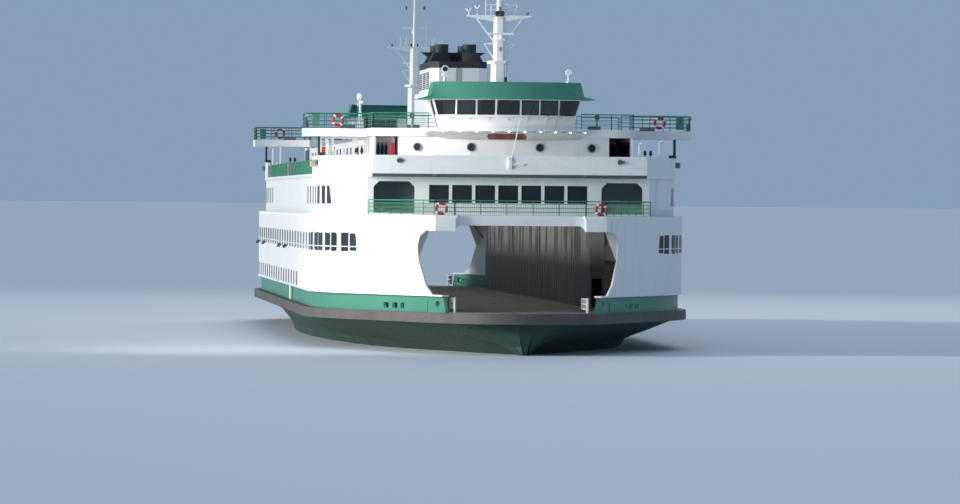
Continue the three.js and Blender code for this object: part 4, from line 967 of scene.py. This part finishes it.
def rail(bm, path, base, top, spacing, courses, mesh_pitch=0.0):
    pipe, course, bar, wire = 0.004, 0.0022, 0.0025, 0.0009
    for a, b in zip(path, path[1:]):
        a, b = Vector((*a, 0)), Vector((*b, 0))
        for level, radius, facets in [(top - pipe, pipe, 8)] + [(level, course, 6) for level in courses]:
            rod(bm, (*a.xy, level), (*b.xy, level), radius, facets)
        bays = max(1, round((b - a).length / spacing))
        for k in range(bays + 1):
            foot = a.lerp(b, k / bays)
            block(bm, foot + Vector((-bar, -bar, base)), foot + Vector((bar, bar, top - 0.003)))
        wires = int((b - a).length / mesh_pitch) if mesh_pitch else 0
        for k in range(1, wires):
            foot = a.lerp(b, k / wires)
            rod(bm, (*foot.xy, base + 0.012), (*foot.xy, top - 0.02), wire, 4)


band_white, tree = new_material("white_vinyl_band")
vinyl = add(tree, "BsdfPrincipled", {"Base Color": linear("#e9e7df"), "Roughness": 0.5})
add(tree, "OutputMaterial", {"Surface": vinyl.outputs[0]})
ring_middle = 0.0355


def life_rings(places, end):
    rings, bands = bmesh.new(), bmesh.new()
    hoops = [(rings, 0.0105, 0, math.tau, 24)]
    hoops += [(bands, 0.0112, (k + 0.5) * math.pi / 2, 0.3, 4) for k in range(4)]
    for centre in places:
        for bm, radius, start, sweep, steps in hoops:
            whole, before = bm is rings, set(bm.verts)
            hoop = bmesh.ops.create_circle(bm, cap_ends=not whole, segments=10, radius=radius,
                                           matrix=Matrix.Translation((ring_middle, 0, 0)))["verts"]
            geom = hoop + list({e for v in hoop for e in v.link_edges}) + list({f for v in hoop for f in v.link_faces})
            bmesh.ops.spin(bm, geom=geom, cent=(0, 0, 0), axis=(0, 1, 0), angle=sweep, steps=steps, use_merge=whole)
            made = [v for v in bm.verts if v not in before]
            bmesh.ops.rotate(bm, verts=made, cent=(0, 0, 0), matrix=Matrix.Rotation(start, 3, "Y"))
            bmesh.ops.translate(bm, verts=made, vec=centre)
    for bm in (rings, bands):
        bmesh.ops.recalc_face_normals(bm, faces=bm.faces[:])
    piece(f"life_rings_{end}", rings, hose_red, end=end, smooth=True)
    piece(f"life_rings_bands_{end}", bands, band_white, end=end, smooth=True)


for end in (1, 2):
    bm = bmesh.new()
    path = [*[(-half_breadth(y, 0.047), -y) for y in (5.56, 6.45)], (-0.452, -6.455), (-0.452, -6.388)]
    path = path + [(-x, y) for x, y in reversed(path)]
    rail(bm, path, 0.95, 1.055, 0.17, (0.975, 1.003, 1.03), 0.0125)
    piece(f"end_rails_{end}", bm, rail_green, end=end, replaces=[f"end_rail_{end}"])

    bm = bmesh.new()
    path = [(-0.545, -5.08), (-0.765, -5.015), (-0.928, -4.976), (-0.948, -4.518), (-1.383, -4.518), (-1.383, -4.132),
            (-0.928, -4.132), (-0.928, -3.892)]
    path = path + [(-x, y) for x, y in reversed(path)]
    rail(bm, path, nav_top, 1.674, 0.15, (1.59, 1.618, 1.646))
    piece(f"nav_rails_{end}", bm, rail_green, end=end, replaces=[f"nav_rail_{end}"])
    life_rings([(-1.157, -4.536, 1.62), (1.161, -4.536, 1.62), (-0.548, -6.468, 0.995), (0.553, -6.468, 0.995)], end)
for side, word in sides:
    bm = bmesh.new()
    rail(bm, [(side * 1.29, -3.735), (side * 1.29, 3.735)], sun_deck_top, 1.342, 0.25, (1.263, 1.29, 1.316))
    piece(f"sun_rails_{word}", bm, rail_green, replaces=[f"sun_rail_{word}"])

# Liferafts: white glass-fibre canisters in galvanised cradles along the sun deck, each held down by two steel
# straps that run round it.
# gel coat: smooth and glossy, chalked a little in clouds of 0.14 m
gel_coat = mottled_finish("white_gel_coat", "#e2e4e0", "#f6f6f3", 7.0, 2.0, {"Roughness": 0.3, "Coat Weight": 0.3})
dress(gel_coat, "raft_rack_stbd", "raft_rack_port")
straps = bmesh.new()
for side in (-1, 1):
    for y in (-1.9, -1.5, -1.1, 1.3, 1.7, 2.1, 2.5):
        for dy in (-0.045, 0.045):
            rod(straps, (side * 1.17, y + dy - 0.003, 1.299), (side * 1.17, y + dy + 0.003, 1.299), 0.0455, 16)
piece("raft_straps", straps, cast_grey)

# Jackstaffs: white wooden poles that lean a little, each with two short wire stays to the bulwark and two long ones
# led out along it. A small shelf and a lamp are screwed to the bulwark at its foot.
dress(white_plate, "jackstaff_1", "jackstaff_2")
for end in (1, 2):
    stays = bmesh.new()
    for a, b in (((0.02, -5.52, 1.4), (-0.085, -5.515, 1.364)), ((0.02, -5.52, 1.4), (0.11, -5.515, 1.364)),
                 ((0.03, -5.52, 1.42), (0.36, -5.522, 1.28)), ((0.03, -5.52, 1.42), (0.44, -5.522, 1.28))):
        rod(stays, a, b, 0.0016, 5)
    block(stays, (-0.006, -5.534, 1.3), (0.1, -5.521, 1.312))
    rod(stays, (-0.008, -5.53, 1.31), (-0.008, -5.53, 1.36), 0.007, 8)
    piece(f"jackstaff_stays_{end}", stays, white_plate, end=end)

# Propellers and rudders: one propeller of cast and polished manganese bronze at each end, and welded plate rudders
# painted as the hull is. The CAD solids keep their shapes.
# polished bronze, tarnished in clouds of 40 mm
bronze = mottled_finish("manganese_bronze", "#8a6a34", "#c9a55c", 25.0, 4.0, {"Metallic": 1.0, "Roughness": 0.3})
dress(bronze, "propeller_1", "propeller_2")
dress(hull_green, "rudder_1", "rudder_2")

# Gates, davit and rescue boat: safety gates of white enamelled bars, welded to a pipe post on which they swing
# across the lanes, and a moulded boat of orange glass fibre that hangs from a white davit.
gate_white = ship_paint("gate_white_enamel", "#e4e5e0", streaks=0.2, roughness=0.4, plate=2.0, seam=0.0)
dress(gate_white, "gate_stbd_1", "gate_port_1", "gate_stbd_2", "gate_port_2")
dress(white_plate, "rescue_davit")
boat_orange = ship_paint("orange_glass_fibre", "#d9622b", streaks=0.1, roughness=0.35, plate=2.0, seam=0.0)
dress(boat_orange, "rescue_boat")
